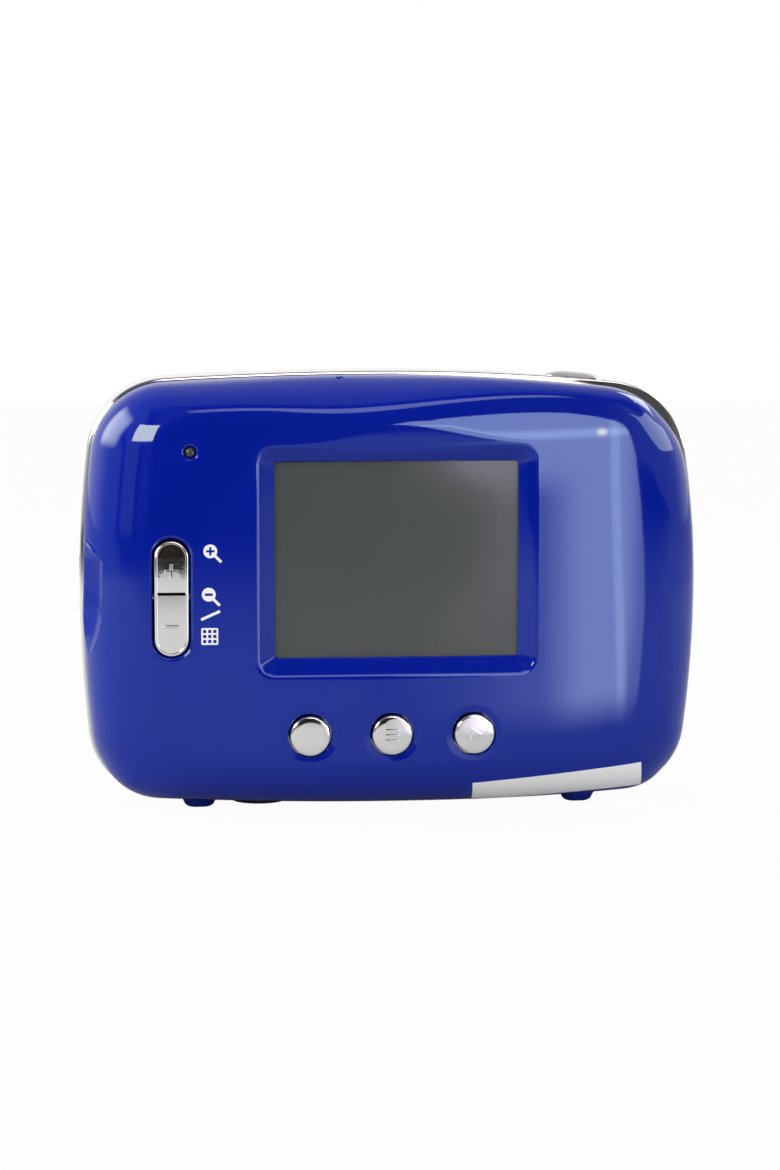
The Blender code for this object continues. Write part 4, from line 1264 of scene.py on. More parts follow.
    def build(self) -> None:
        """Builds the skin, joins the feet and cuts the holes."""
        columns = []
        outlines = zip(SHELL.stations(), FLAT.stations(), BEZEL.ring(0), SCREEN.ring(0))
        for (spot, normal), flat, bezel, opening in outlines:
            column = self.column(spot, normal, self.flat_spot(*flat), bezel, opening)
            columns.append([tuple(point) for point in column])
        self.skin = Solid().loft(list(zip(*columns)), wrap=True).mesh()
        feet = Solid()
        for place in self.feet:
            feet.stack(
                Axis.Z, shrinking(place, self.foot_half, self.foot_half[1], 12), eased(*self.foot_path)
            )
        mesh = carve(self.skin, Cut.JOIN, feet)
        holes = Solid()
        self.keys.holes(holes)
        self.rocker.hole(holes)
        lip = eased(
            (self.led_hole + 1.0, BACK_Y - 0.14, 0), (self.led_hole, BACK_Y + 0.08, 0.5),
            (self.led_hole, -13.0, 0),
        )
        holes.turned(Axis.Y, self.led, lip, 40)
        sound = eased((1.6, 64.0, 0), (1.5, 62.75, 0), (0.72, 62.3, 0.4), (0.72, 58.0, 0))
        holes.turned(Axis.Z, self.microphone, sound, 32)
        holes.rod(Axis.Z, TRIPOD_PLACE, *TRIPOD_HOLE)
        mesh = carve(mesh, Cut.REMOVE, holes)
        mesh = carve(mesh, Cut.REMOVE, self.scoop())
        mesh = carve(mesh, Cut.JOIN, self.scoop_lip())
        keep_shading(mesh, self.skin)
        self.add("rear_shell", mesh, BLUE_GLOSS)


@dataclass
class TrimBand(SubAssembly):
    """Chrome band between the two casings, with the openings that the keys, door, flap and ports need."""

    chamfer: Pair = (1.4, 0.4)
    corner_flattening: float = 0.4
    corner_run: Pair = (20.0, 32.0)
    front_round: float = 0.6
    thickness: float = 2.2
    key_gap: float = 0.25

    def ring(self, inset: float, y: float) -> Ring:
        """Ring of the band, with the rear chamfer flatter at its right end."""
        ring = BAND.ring(y, inset)
        if y > BAND_REAR + 1.0:
            return ring
        depth = y - BAND_REAR
        return [(x, y - depth * self.corner_flattening * smooth(x, *self.corner_run), z) for x, _, z in ring]

    def build(self) -> None:
        """Builds the band and cuts its openings."""
        path = eased(
            (0.0, BAND_REAR + self.chamfer[1], 0.25), (0.0, BAND_FRONT, self.front_round),
            (self.thickness, BAND_FRONT, 0.1), (self.thickness, BAND_REAR, 0.1),
            (self.chamfer[0], BAND_REAR, 0.1), closed=True, steps=8,
        )
        skin = Solid().loft([self.ring(inset, y) for inset, y in path], wrap=True).mesh()
        holes = Solid()
        holes.box((12.7, -4.0, -1.0), (35.9, 6.9, 5.0))
        holes.rod(Axis.Z, TRIPOD_PLACE, *TRIPOD_HOLE)
        holes.stack(
            Axis.Z, shrinking((-1.0, -3.5), (6.0, 0.8), 0.3, 4),
            [(-0.6, -0.2), (-0.1, 0.55), (0.0, 0.8), (0.0, 4.0)],
        )
        holes.box((-47.0, -4.0, 27.8), (-42.0, 4.8, 36.2))
        for x, half in TOP_KEYS.values():
            hole = (half[0] + self.key_gap, half[1] + self.key_gap)
            holes.prism(Axis.Z, rounded((x, TOP_KEY_Y), hole, hole[1], 16), 57.0, 66.0)
        mesh = carve(skin, Cut.REMOVE, holes)
        mesh = carve(mesh, Cut.REMOVE, Solid().rod(Axis.Y, DOOR_AXIS, DOOR_PIN_HOLE, (-4.6, 7.6), 32))
        keep_shading(mesh, skin)
        self.add("trim_band", mesh, CHROME)


@dataclass
class TopKeys(SubAssembly):
    """Power key and shutter key in the band, both crowned."""

    flange: float = 0.7

    def build(self) -> None:
        """Builds both keys, whose tops follow the band's slope."""
        for name, flange_z, top, slope, crown in (
            ("power_button", 59.0, 62.9, -0.04, 0.3), ("shutter_button", 58.0, 62.7, -0.085, 0.75)
        ):
            x, half = TOP_KEYS[name]
            outline = shrinking((x, TOP_KEY_Y), half, half[1], 16)
            path = eased(
                (-self.flange, flange_z, 0), (-self.flange, flange_z + 0.8, 0.15), (0.0, flange_z + 0.8, 0.1),
                (0.0, top - crown, 0.4), (half[1] * 0.5, top - crown * 0.2, 0.9), (half[1] - 0.05, top, 0),
            )
            rings = []
            for inset, z in path:
                lean = slope * smooth(z, flange_z + 1.0, top - 0.6)
                rings.append([(u, v, z + lean * (u - x)) for u, v in outline(inset)])
            self.add(name, Solid().loft(rings).mesh(), CHROME)


@dataclass
class Display(SubAssembly):
    """Cover over the screen."""

    half: Pair = (19.0, 15.5)
    radius: float = 1.0

    def build(self) -> None:
        """Builds the cover, with its edges rounded off."""
        path = eased((0.0, -13.1, 0), (0.0, -14.1, 0.12), (1.0, -14.1, 0), steps=3)
        cover = Solid().stack(Axis.Y, shrinking((SCREEN.x, SCREEN.z), self.half, self.radius), path)
        self.add("lcd_window", cover.mesh(), SCREEN_COVER)


@dataclass
class StatusLight(SubAssembly):
    """Small smoked light beside the screen."""

    place: Pair = LED_PLACE
    radius: float = 0.7

    def build(self) -> None:
        """Builds the light's stem, flange and domed head."""
        path = eased(
            (0.9, -6.4, 0), (0.9, -13.0, 0.1), (1.3, -13.0, 0.1), (1.3, -14.0, 0.1),
            (self.radius, -14.0, 0.1), (self.radius, BACK_Y + 0.15, 0.3), (0.03, BACK_Y - 0.05, 0),
        )
        self.add("status_led", Solid().turned(Axis.Y, self.place, path, 40).mesh(), SMOKED_LIGHT)


@dataclass
class FrontShell(SubAssembly):
    """Blue front casing with the lens hole, flash hole, screw wells, sound holes and feet."""

    edge: float = 6.0
    depth: float = 4.0
    edge_steps: int = 16
    lens_hole: float = 12.2
    flash_half: Pair = (6.0, 3.0)
    seat_y: float = 4.0
    posts: tuple[Pair, ...] = ((-22.3, 34.0), (6.3, 34.0))
    feet: tuple[Pair, ...] = ((-27.7, 9.75), (27.7, 9.75))
    foot_path: tuple[Point, ...] = ((0.05, 0.0, 0), (1.25, 0.0, 0.6), (1.55, 1.2, 0.4), (1.6, 4.3, 0))
    buzzer: Pair = (-28.5, 46.0)
    sound_ring: float = 3.4

    def build(self) -> None:
        """Builds the casing, joins feet and posts and cuts the holes."""
        turns = [math.pi / 2 * k / self.edge_steps for k in range(self.edge_steps + 1)]
        rings = []
        for a in reversed(turns):
            inset = WALL + (self.edge - WALL) * (1 - math.cos(a))
            rings.append(SHELL.ring(FRONT_PARTING + (self.depth - WALL) * math.sin(a), inset))
        rings += [SHELL.ring(FRONT_PARTING, 0.22), SHELL.ring(FRONT_PARTING + 0.06, 0.06)]
        for a in turns[1:]:
            rings.append(SHELL.ring(FRONT_PARTING + self.depth * math.sin(a), self.edge * (1 - math.cos(a))))
        rings += [SHELL.ring(FRONT_Y, self.edge + k) for k in (1.5, 3.0)]
        skin = Solid().loft(rings).mesh()
        added, holes = Solid(), Solid()
        for place in self.feet:
            added.turned(Axis.Z, place, eased(*self.foot_path), 32)
        for place in SCREW_PLACES:
            added.rod(Axis.Y, place, 2.8, (1.2, 11.2), 32)
            path = [
                (2.75, 12.4), (2.35, 12.0), (2.1, 11.7), (2.1, self.seat_y), (1.25, self.seat_y), (1.25, 0.0)
            ]
            holes.turned(Axis.Y, place, path, 40)
        for place in self.posts:
            added.rod(Axis.Y, place, 1.7, (0.3, 11.2), 24)
            holes.rod(Axis.Y, place, 0.7, (0.0, 6.0), 24)
        mesh = carve(skin, Cut.JOIN, added)
        holes.rod(Axis.Y, LENS_CENTRE, self.lens_hole, (9.0, 14.0), 96)
        flash = [(0.0, 9.0), (0.0, 11.7), (-0.35, 12.05), (-0.8, 12.5)]
        holes.stack(Axis.Y, shrinking(FLASH_CENTRE, self.flash_half, 1.2), flash)
        for place in [self.buzzer] + arc(self.buzzer, self.sound_ring, 0.0, 2 * math.pi, 6)[:-1]:
            holes.turned(Axis.Y, place, [(0.55, 9.8), (0.55, 11.85), (0.75, 12.05), (1.0, 12.3)], 24)
        mesh = carve(mesh, Cut.REMOVE, holes)
        keep_shading(mesh, skin)
        self.add("front_shell", mesh, BLUE_GLOSS)


@dataclass
class LensFront(SubAssembly):
    """Chrome ring round the lens with stepped grooves, and its cover with a black mask."""

    neck: float = 12.0
    radius: float = 13.5
    front_y: float = 16.9
    cover_radius: float = 9.35

    def build(self) -> None:
        """Builds the ring and the cover."""
        face = FRONT_Y + 0.1
        ring = eased(
            (self.neck, 9.5, 0), (self.neck, face, 0), (self.radius, face, 0.15), (self.radius, 13.1, 0.1),
            (self.radius - 0.3, 13.25, 0.08), (self.radius - 0.3, 13.6, 0.08), (self.radius, 13.75, 0.1),
            (self.radius, 14.9, 0.5), (12.7, 16.3, 0.5), (11.6, self.front_y, 0.45),
            (10.7, self.front_y, 0.3), (10.1, 16.1, 0.25), (9.75, 16.1, 0.12), (9.5, 15.6, 0.15),
            (9.5, 13.9, 0), (8.0, 13.9, 0), (8.0, 9.5, 0), closed=True,
        )
        mesh = Solid().turned(Axis.Y, LENS_CENTRE, ring, 128, bore=True).mesh()
        self.add("lens_ring", mesh, CHROME)
        rim = self.cover_radius
        cover = eased((0.05, 14.0, 0), (rim, 14.0, 0.1), (rim, 15.0, 0.25), (8.4, 15.2, 0.4))
        cover += [(8.2 * (1 - k / 8) + 0.05, 15.2 + 0.25 * (1 - (1 - k / 8) ** 2)) for k in range(9)]
        mesh = Solid().turned(Axis.Y, LENS_CENTRE, cover, 96).mesh()
        self.add("lens_window", mesh, LENS_COVER)


@dataclass
class FlashWindow(SubAssembly):
    """Ribbed clear window over the flash."""

    centre: Pair = FLASH_CENTRE
    half: Pair = (5.85, 2.85)
    ribs: int = 9

    def build(self) -> None:
        """Builds the pane with its flange, and upright ribs on its face."""
        outline = shrinking(self.centre, self.half, 1.1)
        path = eased(
            (-0.85, 9.3, 0), (-0.85, 10.15, 0.1), (0.0, 10.15, 0.05), (0.0, 11.75, 0.15), (0.6, 11.75, 0),
            steps=3,
        )
        mesh = Solid().stack(Axis.Y, outline, path).mesh()
        ribs = Solid()
        width = 2 * (self.half[0] - 0.7) / self.ribs
        side, reach = width * 0.42, self.half[1] - 0.6
        for k in range(self.ribs):
            x = self.centre[0] + (k + 0.5 - self.ribs / 2) * width
            ridge = [(x - side, 11.6), (x + side, 11.6), (x + side, 11.78), (x, 12.02), (x - side, 11.78)]
            ribs.prism(Axis.Z, ridge, self.centre[1] - reach, self.centre[1] + reach)
        self.add("flash_window", carve(mesh, Cut.JOIN, ribs), CLEAR_PLASTIC)


@dataclass
class BatteryDoor(SubAssembly):
    """Chrome door in the band's bottom, with its hinge barrel and thumb ridges."""

    axis: Pair = DOOR_AXIS
    end_x: float = 35.6
    y: Pair = (-3.8, 6.7)
    thickness: float = 1.7
    barrel: float = 1.05
    ridges: tuple[float, ...] = (29.6, 31.0, 32.4)

    def build(self) -> None:
        """Builds the door along the band's bottom and presses thumb grooves into it."""
        steps = 24
        spots = [self.axis[0] + 0.6 + (self.end_x - self.axis[0] - 0.6) * k / steps for k in range(steps + 1)]
        outline = [(x, BAND.bottom_at(x)) for x in spots]
        outline += [(x, BAND.bottom_at(x) + self.thickness) for x in reversed(spots[1:])]
        outline += arc(self.axis, self.barrel, math.radians(60), math.radians(255), 14)
        mesh = Solid().prism(Axis.Y, outline, *self.y).soften(0.18).mesh()
        cuts = Solid().rod(Axis.Y, self.axis, DOOR_PIN_HOLE, (-5.0, 8.0), 32)
        for x in self.ridges:
            z = BAND.bottom_at(x)
            middle = sum(self.y) / 2
            groove = [(-0.3, z - 0.25), (0.0, z + 0.12), (0.18, z + 0.22)]
            cuts.stack(Axis.Z, shrinking((x, middle), (0.38, 3.2), 0.36, 6), groove)
        self.add("battery_door", carve(mesh, Cut.REMOVE, cuts), CHROME)


@dataclass
class PortFlap(SubAssembly):
    """Soft blue flap over the data port, with a fingernail notch and a rounded hinge barrel."""

    axis: Pair = (-44.05, 3.3)
    barrel: float = 1.0
    z: Pair = (28.0, 36.0)
    rear_y: float = -3.8
    thickness: float = 1.7

    def build(self) -> None:
        """Builds the flap and presses the notch and two grip lines into it."""
        outer = -BAND.half_width
        inner = outer + self.thickness
        outline = [(outer, self.rear_y), (outer, self.axis[1] - 0.7)]
        outline += arc(self.axis, self.barrel, math.pi, 0.0, 12)
        outline += [(inner, self.axis[1] - 0.9), (inner, self.rear_y)]
        mesh = Solid().prism(Axis.Z, outline, *self.z).soften(0.25).mesh()
        cuts = Solid()
        middle = sum(self.z) / 2
        notch = [(-0.5, outer - 0.4), (0.0, outer + 0.25), (0.25, outer + 0.5)]
        cuts.stack(Axis.X, shrinking((self.rear_y, middle), (0.7, 1.6), 0.6, 6), notch)
        for offset in (0.4, 1.3):
            groove = [(-0.2, outer - 0.2), (0.0, outer + 0.12), (0.1, outer + 0.2)]
            cuts.stack(Axis.X, shrinking((offset - 2.0, middle), (0.18, 2.6), 0.17, 4), groove)
        self.add("usb_flap", carve(mesh, Cut.REMOVE, cuts), BLUE_RUBBER)


@dataclass
class TripodBush(SubAssembly):
    """Black bush in the bottom with a quarter inch thread, 20 turns to the inch."""

    centre: Pair = TRIPOD_PLACE
    radius: float = 3.95
    bore: float = 3.2
    thread_depth: float = 0.55
    pitch: float = 1.27
    face_z: float = 0.4
    bore_top: float = 7.2
    steps: int = 48

    def build(self) -> None:
        """Builds the bush, its bore cut by a helical thread that fades out at both ends."""
        outer = eased(
            (self.bore - 0.1, self.face_z, 0), (self.radius, self.face_z, 0.25), (self.radius, 4.4, 0),
            (5.0, 4.4, 0.1), (5.0, 8.3, 0.3), (0.05, 8.3, 0),
        )
        rows = 120
        path = [(0.05, self.bore_top)] + [
            (self.bore, self.bore_top + (self.face_z - self.bore_top) * k / rows) for k in range(rows + 1)
        ]
        rings = []
        for radius, z in path + outer[1:]:
            ring = []
            for k in range(self.steps):
                share = k / self.steps
                near = radius
                if abs(radius - self.bore) < 0.01 and z < self.bore_top:
                    phase = (z / self.pitch + share) % 1.0
                    fade = smooth(z, self.face_z, self.face_z + 0.5) * (1 - smooth(z, 6.4, 7.0))
                    near = radius - self.thread_depth * fade * (1 - abs(2 * phase - 1))
                spot = cmath.rect(near, 2 * math.pi * share)
                ring.append((self.centre[0] + spot.real, self.centre[1] + spot.imag, z))
            rings.append(ring)
        self.add("tripod_insert", Solid().loft(rings).mesh(), BLACK_PLASTIC)


@dataclass
class CaseScrews(SubAssembly):
    """Four pan-head screws with cross recesses, deep in the front's wells."""

    tips: tuple[float, ...] = (-9.0, -9.0, -7.0, -7.0)
    head_radius: float = 1.85
    shank: float = 1.0
    seat: float = 4.1
    top: float = 5.4

    def build(self) -> None:
        """Builds the screws."""
        for number, (place, tip) in enumerate(zip(SCREW_PLACES, self.tips), 1):
            path = eased(
                (0.1, tip, 0), (self.shank * 0.5, tip, 0.1), (self.shank, tip + 1.0, 0.2),
                (self.shank, self.seat, 0), (self.head_radius, self.seat, 0.1),
                (self.head_radius, self.top - 0.2, 0.45), (0.05, self.top, 0),
            )
            mesh = Solid().turned(Axis.Y, place, path, 40).mesh()
            recess = [(-0.05, self.top + 0.3), (0.0, self.top - 0.1), (0.12, self.top - 0.8)]
            drive = Solid().stack(Axis.Y, cross(place, 1.1, 0.22), recess)
            self.add(f"case_screw_{number}", carve(mesh, Cut.REMOVE, drive), STEEL)


@dataclass
class ZoomIcons(SubAssembly):
    """White printed marks beside the rocker: two magnifiers, a divider and a grid of thumbnails."""

    near: Pair = (-26.66, 37.88)
    far: Pair = (-26.91, 31.71)
    radius: float = 0.98
    divider: tuple[Pair, Pair] = ((-28.0, 28.16), (-25.34, 29.33))
    grid: Pair = (-26.8, 25.75)
    grid_half: float = 1.2
    stroke: float = 0.39
    ink: float = 0.02
    sunk: float = 0.05
    gap: float = 0.25

    def layer(self, past: float = 0.0) -> Pair:
        """Depths between which the ink lies, or that reach past it on both sides."""
        return BACK_Y + self.sunk + past, BACK_Y - self.ink - past

    def bar(self, solid: Solid, start: Pair, end: Pair, width: float, past: float = 0.0) -> None:
        """Adds a bar between two places."""
        along = Vector(end) - Vector(start)
        side = Vector((-along.y, along.x)).normalized() * width / 2
        first, last = Vector(start), Vector(end)
        corners = [tuple(spot) for spot in (first - side, last - side, last + side, first + side)]
        solid.prism(Axis.Y, corners, *self.layer(past))

    def build(self) -> None:
        """Builds the printed marks and opens the signs in them."""
        ink, handles, open_ink = Solid(), Solid(), Solid()
        reach = self.radius * 0.62
        for x, z in (self.near, self.far):
            ink.rod(Axis.Y, (x, z), self.radius, self.layer(), 48)
            self.bar(handles, (x + reach, z - reach), (x + reach + 0.95, z - reach - 0.95), self.stroke)
        open_ink.prism(Axis.Y, cross(self.near, 0.6, 0.16)(0.0), *self.layer(self.sunk))
        x, z = self.far
        self.bar(open_ink, (x - 0.56, z), (x + 0.56, z), 0.36, self.sunk)
        self.bar(ink, *self.divider, self.stroke)
        ink.prism(Axis.Y, rounded(self.grid, (self.grid_half,) * 2, 0.15, 3), *self.layer())
        cell = (2 * self.grid_half - 4 * self.gap) / 6
        step = 2 * cell + self.gap
        for row in (-1, 0, 1):
            for column in (-1, 0, 1):
                middle = (self.grid[0] + column * step, self.grid[1] + row * step)
                open_ink.prism(Axis.Y, rounded(middle, (cell, cell), 0.05, 2), *self.layer(self.sunk))
        mesh = carve(ink.mesh(), Cut.JOIN, handles)
        self.add("zoom_icons", carve(mesh, Cut.REMOVE, open_ink), WHITE_INK)


@dataclass
class Label(SubAssembly):
    """Blank paper label laid over the bottom edge."""

    skin: Optional[Mesh] = None
    corners: tuple[Pair, ...] = ((10.98, 3.92), (36.0, 6.24), (36.45, 2.62), (11.22, 0.95))
    thickness: float = 0.05
    steps: tuple[int, int] = (48, 14)

    def build(self) -> None:
        """Lays a grid of points on the shell and gives it a paper's thickness."""
        tree = search_tree(self.skin)
        top_left, top_right, low_right, low_left = [Vector(corner) for corner in self.corners]
        columns, rows = self.steps
        rings = []
        for row in range(rows + 1):
            outer, inner = [], []
            for column in range(columns + 1):
                share = column / columns
                spot = top_left.lerp(top_right, share).lerp(low_left.lerp(low_right, share), row / rows)
                hit, normal = cast_back(tree, *spot)
                outer.append(hit + normal * self.thickness)
                inner.append(hit - normal * self.thickness)
            rings.append(outer + inner[::-1])
        self.add("blank_label", Solid().loft(rings, ladder=True).mesh(), LABEL_PAPER)


INNER_FINISHES = {
    STEEL: (
        "board_screw_1", "board_screw_2", "board_screw_3", "sensor_screw_1", "sensor_screw_2", "rocker_pin",
        "battery_door_pin", "sd_socket", "usb_socket", "microphone", "battery_bridge", "battery_plus_contact",
        "battery_minus_contact",
    ),
    BRASS: ("buzzer",),
    CHROME: ("flash_reflector",),
    BLACK_PLASTIC: (
        "left_switch", "menu_switch", "playback_switch", "zoom_in_switch", "zoom_out_switch", "power_switch",
        "shutter_switch", "main_chip", "image_sensor", "lens_holder", "lens_barrel", "flash_capacitor",
        "battery_cradle",
    ),
    WHITE_PLASTIC: ("lcd_frame",),
    SCREEN_GLASS: ("lcd_panel",),
    LENS_GLASS: ("front_lens", "flash_tube"),
    CIRCUIT_BOARD: ("main_board", "top_board", "sensor_board"),
    CELL_SLEEVE: ("battery_cell_1", "battery_cell_2"),
}


def dress_inner_pieces() -> None:
    """Gives the pieces inside the casings their finishes; their shapes stay as imported."""
    for finish, names in INNER_FINISHES.items():
        for name in names:
            for slot in frame["nodes"][name].material_slots:
                slot.material = finish.material()
            log.info("%s: finish %s", name, finish.name)


@dataclass(frozen=True)
class Softbox:
    """A soft lamp that faces the object, with its place and sides in millimetres."""

    name: str
    place: Point
    sides: Pair
    radiance: float
    tint: Colour = (1.0, 1.0, 1.0)
    aim: Point = (0.0, 0.0, 32.0)
    soft: float = 0.0
    mirrored: bool = True

    def build(self) -> None:
        """Makes the lamp."""
        lamp = bpy.data.lights.new(self.name, "AREA")
        lamp.shape = "RECTANGLE"
        lamp.size, lamp.size_y = (side * MM for side in self.sides)
        lamp.energy = self.radiance * math.pi * lamp.size * lamp.size_y
        lamp.color = self.tint
        made = linked(self.name, lamp)
        turn_to(made, self.place, self.aim)
        made.visible_glossy = self.mirrored
        if self.soft:
            self.fade(lamp)

    def fade(self, lamp: bpy.types.Light) -> None:
        """Lets the lamp's light fade from its middle to its rim."""
        lamp.use_nodes = True
        graph = Graph(lamp.node_tree)
        u, v, _ = graph.parts(graph.add("ShaderNodeNewGeometry", {}, {}, "Parametric"))
        across, up = u - 0.5, v - 0.5
        full = (0.5 - self.soft) ** 2
        share = graph.ramp(across * across, 0.25, full) * graph.ramp(up * up, 0.25, full)
        graph.end("Light", graph.emission(graph.mix(share, grey(0), grey(1))))


@dataclass
class LitCard:
    """A flat card, lit or dark, that shows in reflections; the viewer's camera doesn't see it."""

    name: str
    corners: tuple[Point, ...]
    tint: Colour = (1.0, 1.0, 1.0)
    level: float = 1.0
    lights: bool = True
    shadows: bool = True

    def build(self) -> None:
        """Makes the card."""
        made = flat_face(self.name, self.corners)
        made.visible_camera = False
        made.visible_diffuse = self.lights
        made.visible_shadow = self.shadows
        material, graph = new_material(f"{self.name}_light")
        graph.end("Material", graph.emission(self.glow(graph), self.level))
        made.data.materials.append(material)

    def glow(self, graph: Graph) -> Input:
        """Colour of the card's light."""
        return (*self.tint, 1.0)


def card_corners(axis: Axis, along: float, *spots: Pair) -> tuple[Point, ...]:
    """Corners of a card that stands across an axis."""
    return tuple(axis.point(along, u, v) for u, v in spots)


@dataclass
class BounceCard(LitCard):
    """Card that stands on the table to the right, lit by an upright and a level streak with a hot spot."""

    dim: float = 0.6
    base: float = 1.75
    gain: float = 3.0
    core: Pair = (41.0, 63.0)
    upper: Pair = (39.0, 46.0)
    left: Pair = (2.0, 46.0)
    low: Pair = (30.0, 18.0)
    foot: Pair = (-1.0, 7.0)
    fall: Pair = (81.0, 91.0)
    fall_lean: float = 5.0
    fall_run: Pair = (22.0, 2.0)
    upright: float = 76.0
    upright_gain: float = 2.0
    upright_reach: float = 11.0
    upright_lean: float = 4.0
    upright_run: Pair = (50.0, 2.0)
    level_streak: float = 50.45
    level_gain: float = 3.4
    level_reach: float = 0.9
    warm: Colour = (26.0, 20.0, 15.0)
    hot: Pair = (69.5, 50.5)
    hot_squeeze: Pair = (1 / 2.8, 1.7)
    hot_fade: Pair = (1.4, 0.1)

    def glow(self, graph: Graph) -> Input:
        """Colour of the card's light, which varies over it."""
        x, _, z = graph.parts(graph.place())
        body = graph.mix(self.brightness(graph, x, z), grey(0), (*self.tint, 1), clamp=False)
        low = graph.ramp(z, *self.low) * (1 - graph.ramp(x, *self.left))
        shown = graph.ramp(z, *self.foot) * (1 - low)
        body = graph.mix(shown, grey(self.dim), body, clamp=False)
        across, up = (x - self.hot[0]) * self.hot_squeeze[0], (z - self.hot[1]) * self.hot_squeeze[1]
        spot = graph.ramp(across * across + up * up, *self.hot_fade)
        return graph.mix(spot, body, (*self.warm, 1), clamp=False)

    def brightness(self, graph: Graph, x: Value, z: Value) -> Value:
        """Light of the card at a place on it.

        Args:
            graph: The card's nodes.
            x: Place across.
            z: Height.

        Returns:
            The light's level.
        """
        lit = 1 - (1 - graph.ramp(x, *self.core)) * (1 - graph.ramp(z, *self.upper))
        leaning = x + self.fall_lean * graph.ramp(z, *self.fall_run)
        edge = 1 - 0.5 * graph.ramp(leaning, *self.fall)
        across = x - self.upright - self.upright_lean * graph.ramp(z, *self.upright_run)
        up = z - self.level_streak
        upright = self.upright_gain * graph.ramp(across * across, self.upright_reach, 0.0)
        level = self.level_gain * graph.ramp(up * up, self.level_reach, 0.0)
        return (self.base + self.gain * lit) * edge + upright + level


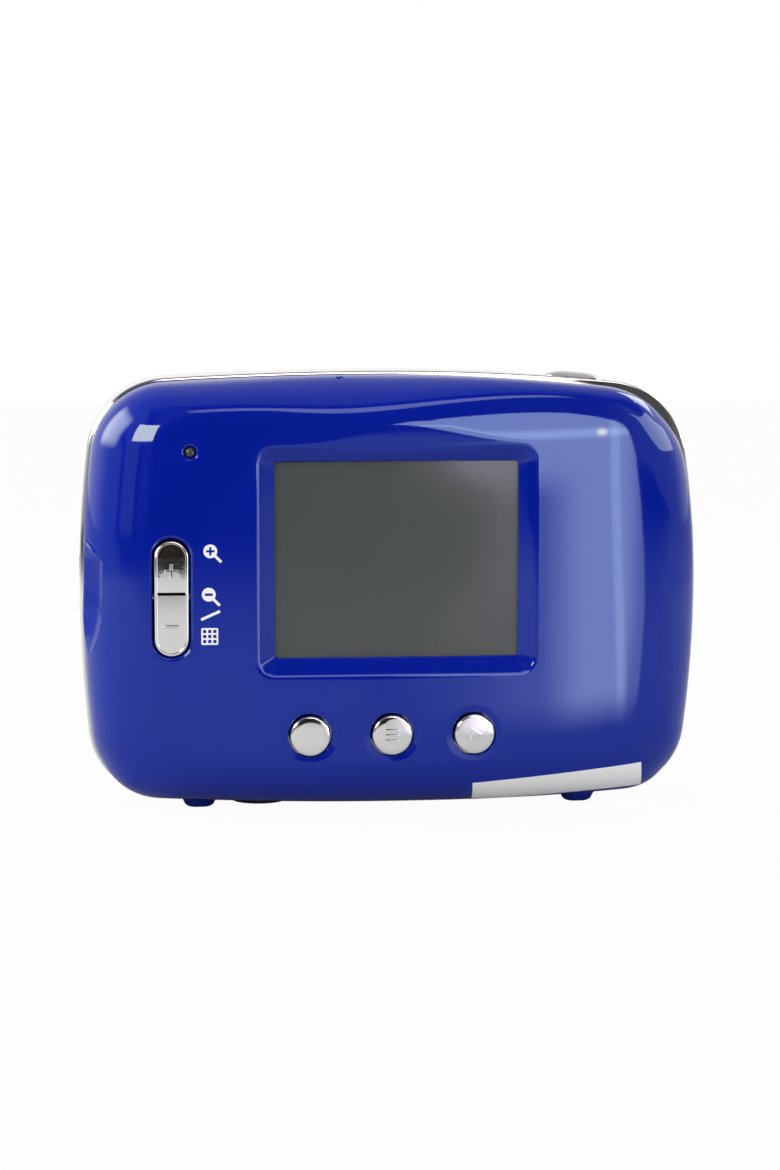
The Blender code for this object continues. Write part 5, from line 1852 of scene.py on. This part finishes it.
@dataclass
class Studio:
    """Camera, lamps, cards, white table and surroundings.

    The pairs for the surroundings are where a stretch of them starts and ends, as a part of a direction.
    """

    eye: Point = (-44.97, -455.55, 76.06)
    aim: Point = (0.5, 0.0, 31.27)
    lens: float = 95.835
    sensor: float = 36.0
    clip_start: float = 0.01
    table: tuple[Pair, Pair] = ((-1500.0, -700.0), (1500.0, 1500.0))
    # The table's colours and fade make a painted pool of light: pale near the object, near black towards the
    # camera.
    table_light_pool_fade: Pair = (-150.0, -520.0)
    table_light_pool_colours: tuple[Colour, Colour] = ((0.5, 0.53, 0.54), (0.02, 0.02, 0.02))
    table_shine: float = 0.96
    left_wall: tuple[Pair, ...] = ((-0.515, -0.545), (-0.93, -0.88), (-0.93, -0.965))
    left_dim: tuple[float, Pair, Pair] = (0.25, (-0.05, -0.1), (-0.42, -0.46))
    right_wall: tuple[Pair, Pair] = ((0.45, 0.67), (0.5, 0.25))
    right_dim: tuple[float, Pair] = (0.15, (0.05, 0.3))
    wall_light: tuple[Colour, float] = ((0.012, 0.012, 0.014), 0.4)
    ceiling: tuple[float, Pair, Pair] = (0.38, (0.72, 0.95), (-0.5, -0.35))
    behind: tuple[float, float, Pair, Pair] = (0.95, 0.45, (0.25, 0.65), (0.0, 0.5))
    gentle: tuple[float, float, Pair] = (0.5, 1.0, (-0.4, 1.2))
    softboxes: tuple[Softbox, ...] = (
        Softbox("left_back", (-395.0, 105.0, 240.0), (400.0, 300.0), 5.6, (1.17, 1.06, 0.82), soft=0.32),
        Softbox("left_fill", (-230.0, -330.0, 165.0), (200.0, 120.0), 11.0, mirrored=False),
        Softbox("right_back", (272.0, 247.0, 258.0), (200.0, 127.0), 4.0),
        Softbox("front_strip", (125.0, -600.0, 470.0), (490.0, 300.0), 3.0, (1.1, 0.95, 1.0), soft=0.3),
    )
    cards: tuple[LitCard, ...] = (
        LitCard(
            "left_card",
            (
                (-322.7, -282.3, 133.8), (-146.0, -398.7, 80.5),
                (-153.6, -376.8, 177.6), (-288.0, -241.9, 266.0),
            ),
            (1.47, 1.17, 0.86), 11.0, lights=False,
        ),
        LitCard(
            "dark_flag",
            card_corners(
                Axis.Y, -75.0, (-12.0, 55.0), (-31.0, 26.0), (-50.0, 36.0), (-49.5, 60.0), (-32.0, 76.0)
            ),
            (0.0, 0.0, 0.0), 0.0, lights=False, shadows=False,
        ),
        LitCard(
            "right_high_card",
            card_corners(
                Axis.X, 400.0,
                (-465.0, 106.0), (64.0, 234.0), (196.0, 194.0), (126.0, 114.0), (-98.0, 87.0), (-363.0, 96.0),
            ),
            (1.05, 1.0, 1.0), 3.6,
        ),
        BounceCard(
            "right_card",
            card_corners(
                Axis.Y, -86.0,
                (6.2, 54.1), (13.5, 59.1), (22.4, 59.2), (54.3, 59.3), (66.0, 57.5), (74.7, 54.4),
                (80.0, 52.0), (83.8, 49.5), (86.6, 46.3), (89.7, 37.7), (91.6, 28.9), (92.3, 20.5),
                (91.2, 13.5), (89.5, 6.5), (88.0, 3.2), (85.7, 0.0), (2.0, 0.0), (2.0, 14.0),
                (22.0, 27.0), (24.5, 40.0), (13.0, 47.5),
            ),
            (1.08, 1.0, 1.3), lights=False,
        ),
    )

    def build(self) -> None:
        """Sets up the camera, the lamps, the cards, the table and the surroundings."""
        scene = bpy.context.scene
        scene.view_settings.view_transform = "Standard"
        camera = bpy.data.cameras.new("viewer")
        camera.lens = self.lens
        camera.sensor_width = self.sensor
        camera.clip_start = self.clip_start
        scene.camera = linked("viewer", camera)
        turn_to(scene.camera, self.eye, self.aim)
        for light in self.softboxes + self.cards:
            light.build()
        self.build_table()
        self.build_surroundings()

    def build_table(self) -> None:
        """White table: white to the camera with the object's shadow, else lamp-lit over a painted light pool.
        """
        (left, near), (right, far) = self.table
        table = flat_face("table", ((left, near, 0), (right, near, 0), (right, far, 0), (left, far, 0)))
        made, graph = new_material("white_table")
        _, y, _ = graph.parts(graph.place())
        # Painted light pool: to rays other than the camera's, the table fades from pale near the object to
        # near black towards the camera.
        painted_light_pool = graph.mix(graph.ramp(y, *self.table_light_pool_fade), *[rgba(colour) for colour in self.table_light_pool_colours])
        seen = graph.add("ShaderNodeLightPath", {}, {}, "Is Camera Ray")
        lit = graph.add("ShaderNodeBsdfDiffuse", {}, {"Color": painted_light_pool})
        mixed = {0: seen * self.table_shine, 1: lit, 2: graph.emission(grey(1))}
        graph.end("Material", graph.add("ShaderNodeMixShader", {}, mixed))
        table.data.materials.append(made)

    def build_surroundings(self) -> None:
        """White to the camera; in reflections white behind the object and dark in front of it."""
        world = bpy.data.worlds.new("surroundings")
        world.use_nodes = True
        graph = Graph(world.node_tree)
        x, y, z = graph.parts(graph.add("ShaderNodeTexCoord", {}, {}, "Generated"))
        rays = graph.add("ShaderNodeLightPath", {}, {}, "Is Camera Ray")
        diffuse = Value(graph, rays.socket.node.outputs["Is Diffuse Ray"])
        near, far, end = [graph.ramp(x, *run) for run in self.left_wall]
        share, start, stop = self.left_dim
        left = near * far + end + share * (graph.ramp(x, *start) - graph.ramp(x, *stop))
        across, up = self.right_wall
        share, start = self.right_dim
        right = graph.ramp(x, *across) * graph.ramp(z, *up) + share * graph.ramp(x, *start)
        dark, light = self.wall_light
        sides = graph.mix(left + right, rgba(dark), grey(light))
        light, up, back = self.ceiling
        above = graph.mix(graph.ramp(z, *up) * graph.ramp(y, *back), sides, grey(light))
        low, high, up, back = self.behind
        behind = graph.mix(graph.ramp(z, *up), grey(low), grey(high))
        mirrored = graph.mix(graph.ramp(y, *back), above, behind)
        low, high, slope = self.gentle
        gentle = graph.mix(graph.ramp(z - x, *slope), grey(low), grey(high))
        ambient = graph.mix(diffuse, mirrored, gentle)
        sky = {"Color": graph.mix(rays, ambient, grey(1)), "Strength": 1.0}
        graph.end("World", graph.add("ShaderNodeBackground", {}, sky))
        bpy.context.scene.world = world


def main() -> None:
    """Builds the studio, then builds and dresses every sub-assembly in order, then dresses the inner pieces.
    """
    logging.basicConfig(level=logging.INFO, format="%(message)s")
    rear = RearShell()
    Studio().build()
    rear.build()
    parts = (
        rear.keys, rear.rocker, TrimBand(), TopKeys(), Display(), StatusLight(), FrontShell(), LensFront(),
        FlashWindow(), BatteryDoor(), PortFlap(), TripodBush(), CaseScrews(), ZoomIcons(), Label(rear.skin),
    )
    rear.dress()
    for part in parts:
        part.build()
        part.dress()
    dress_inner_pieces()


if __name__ == "__main__":
    main()
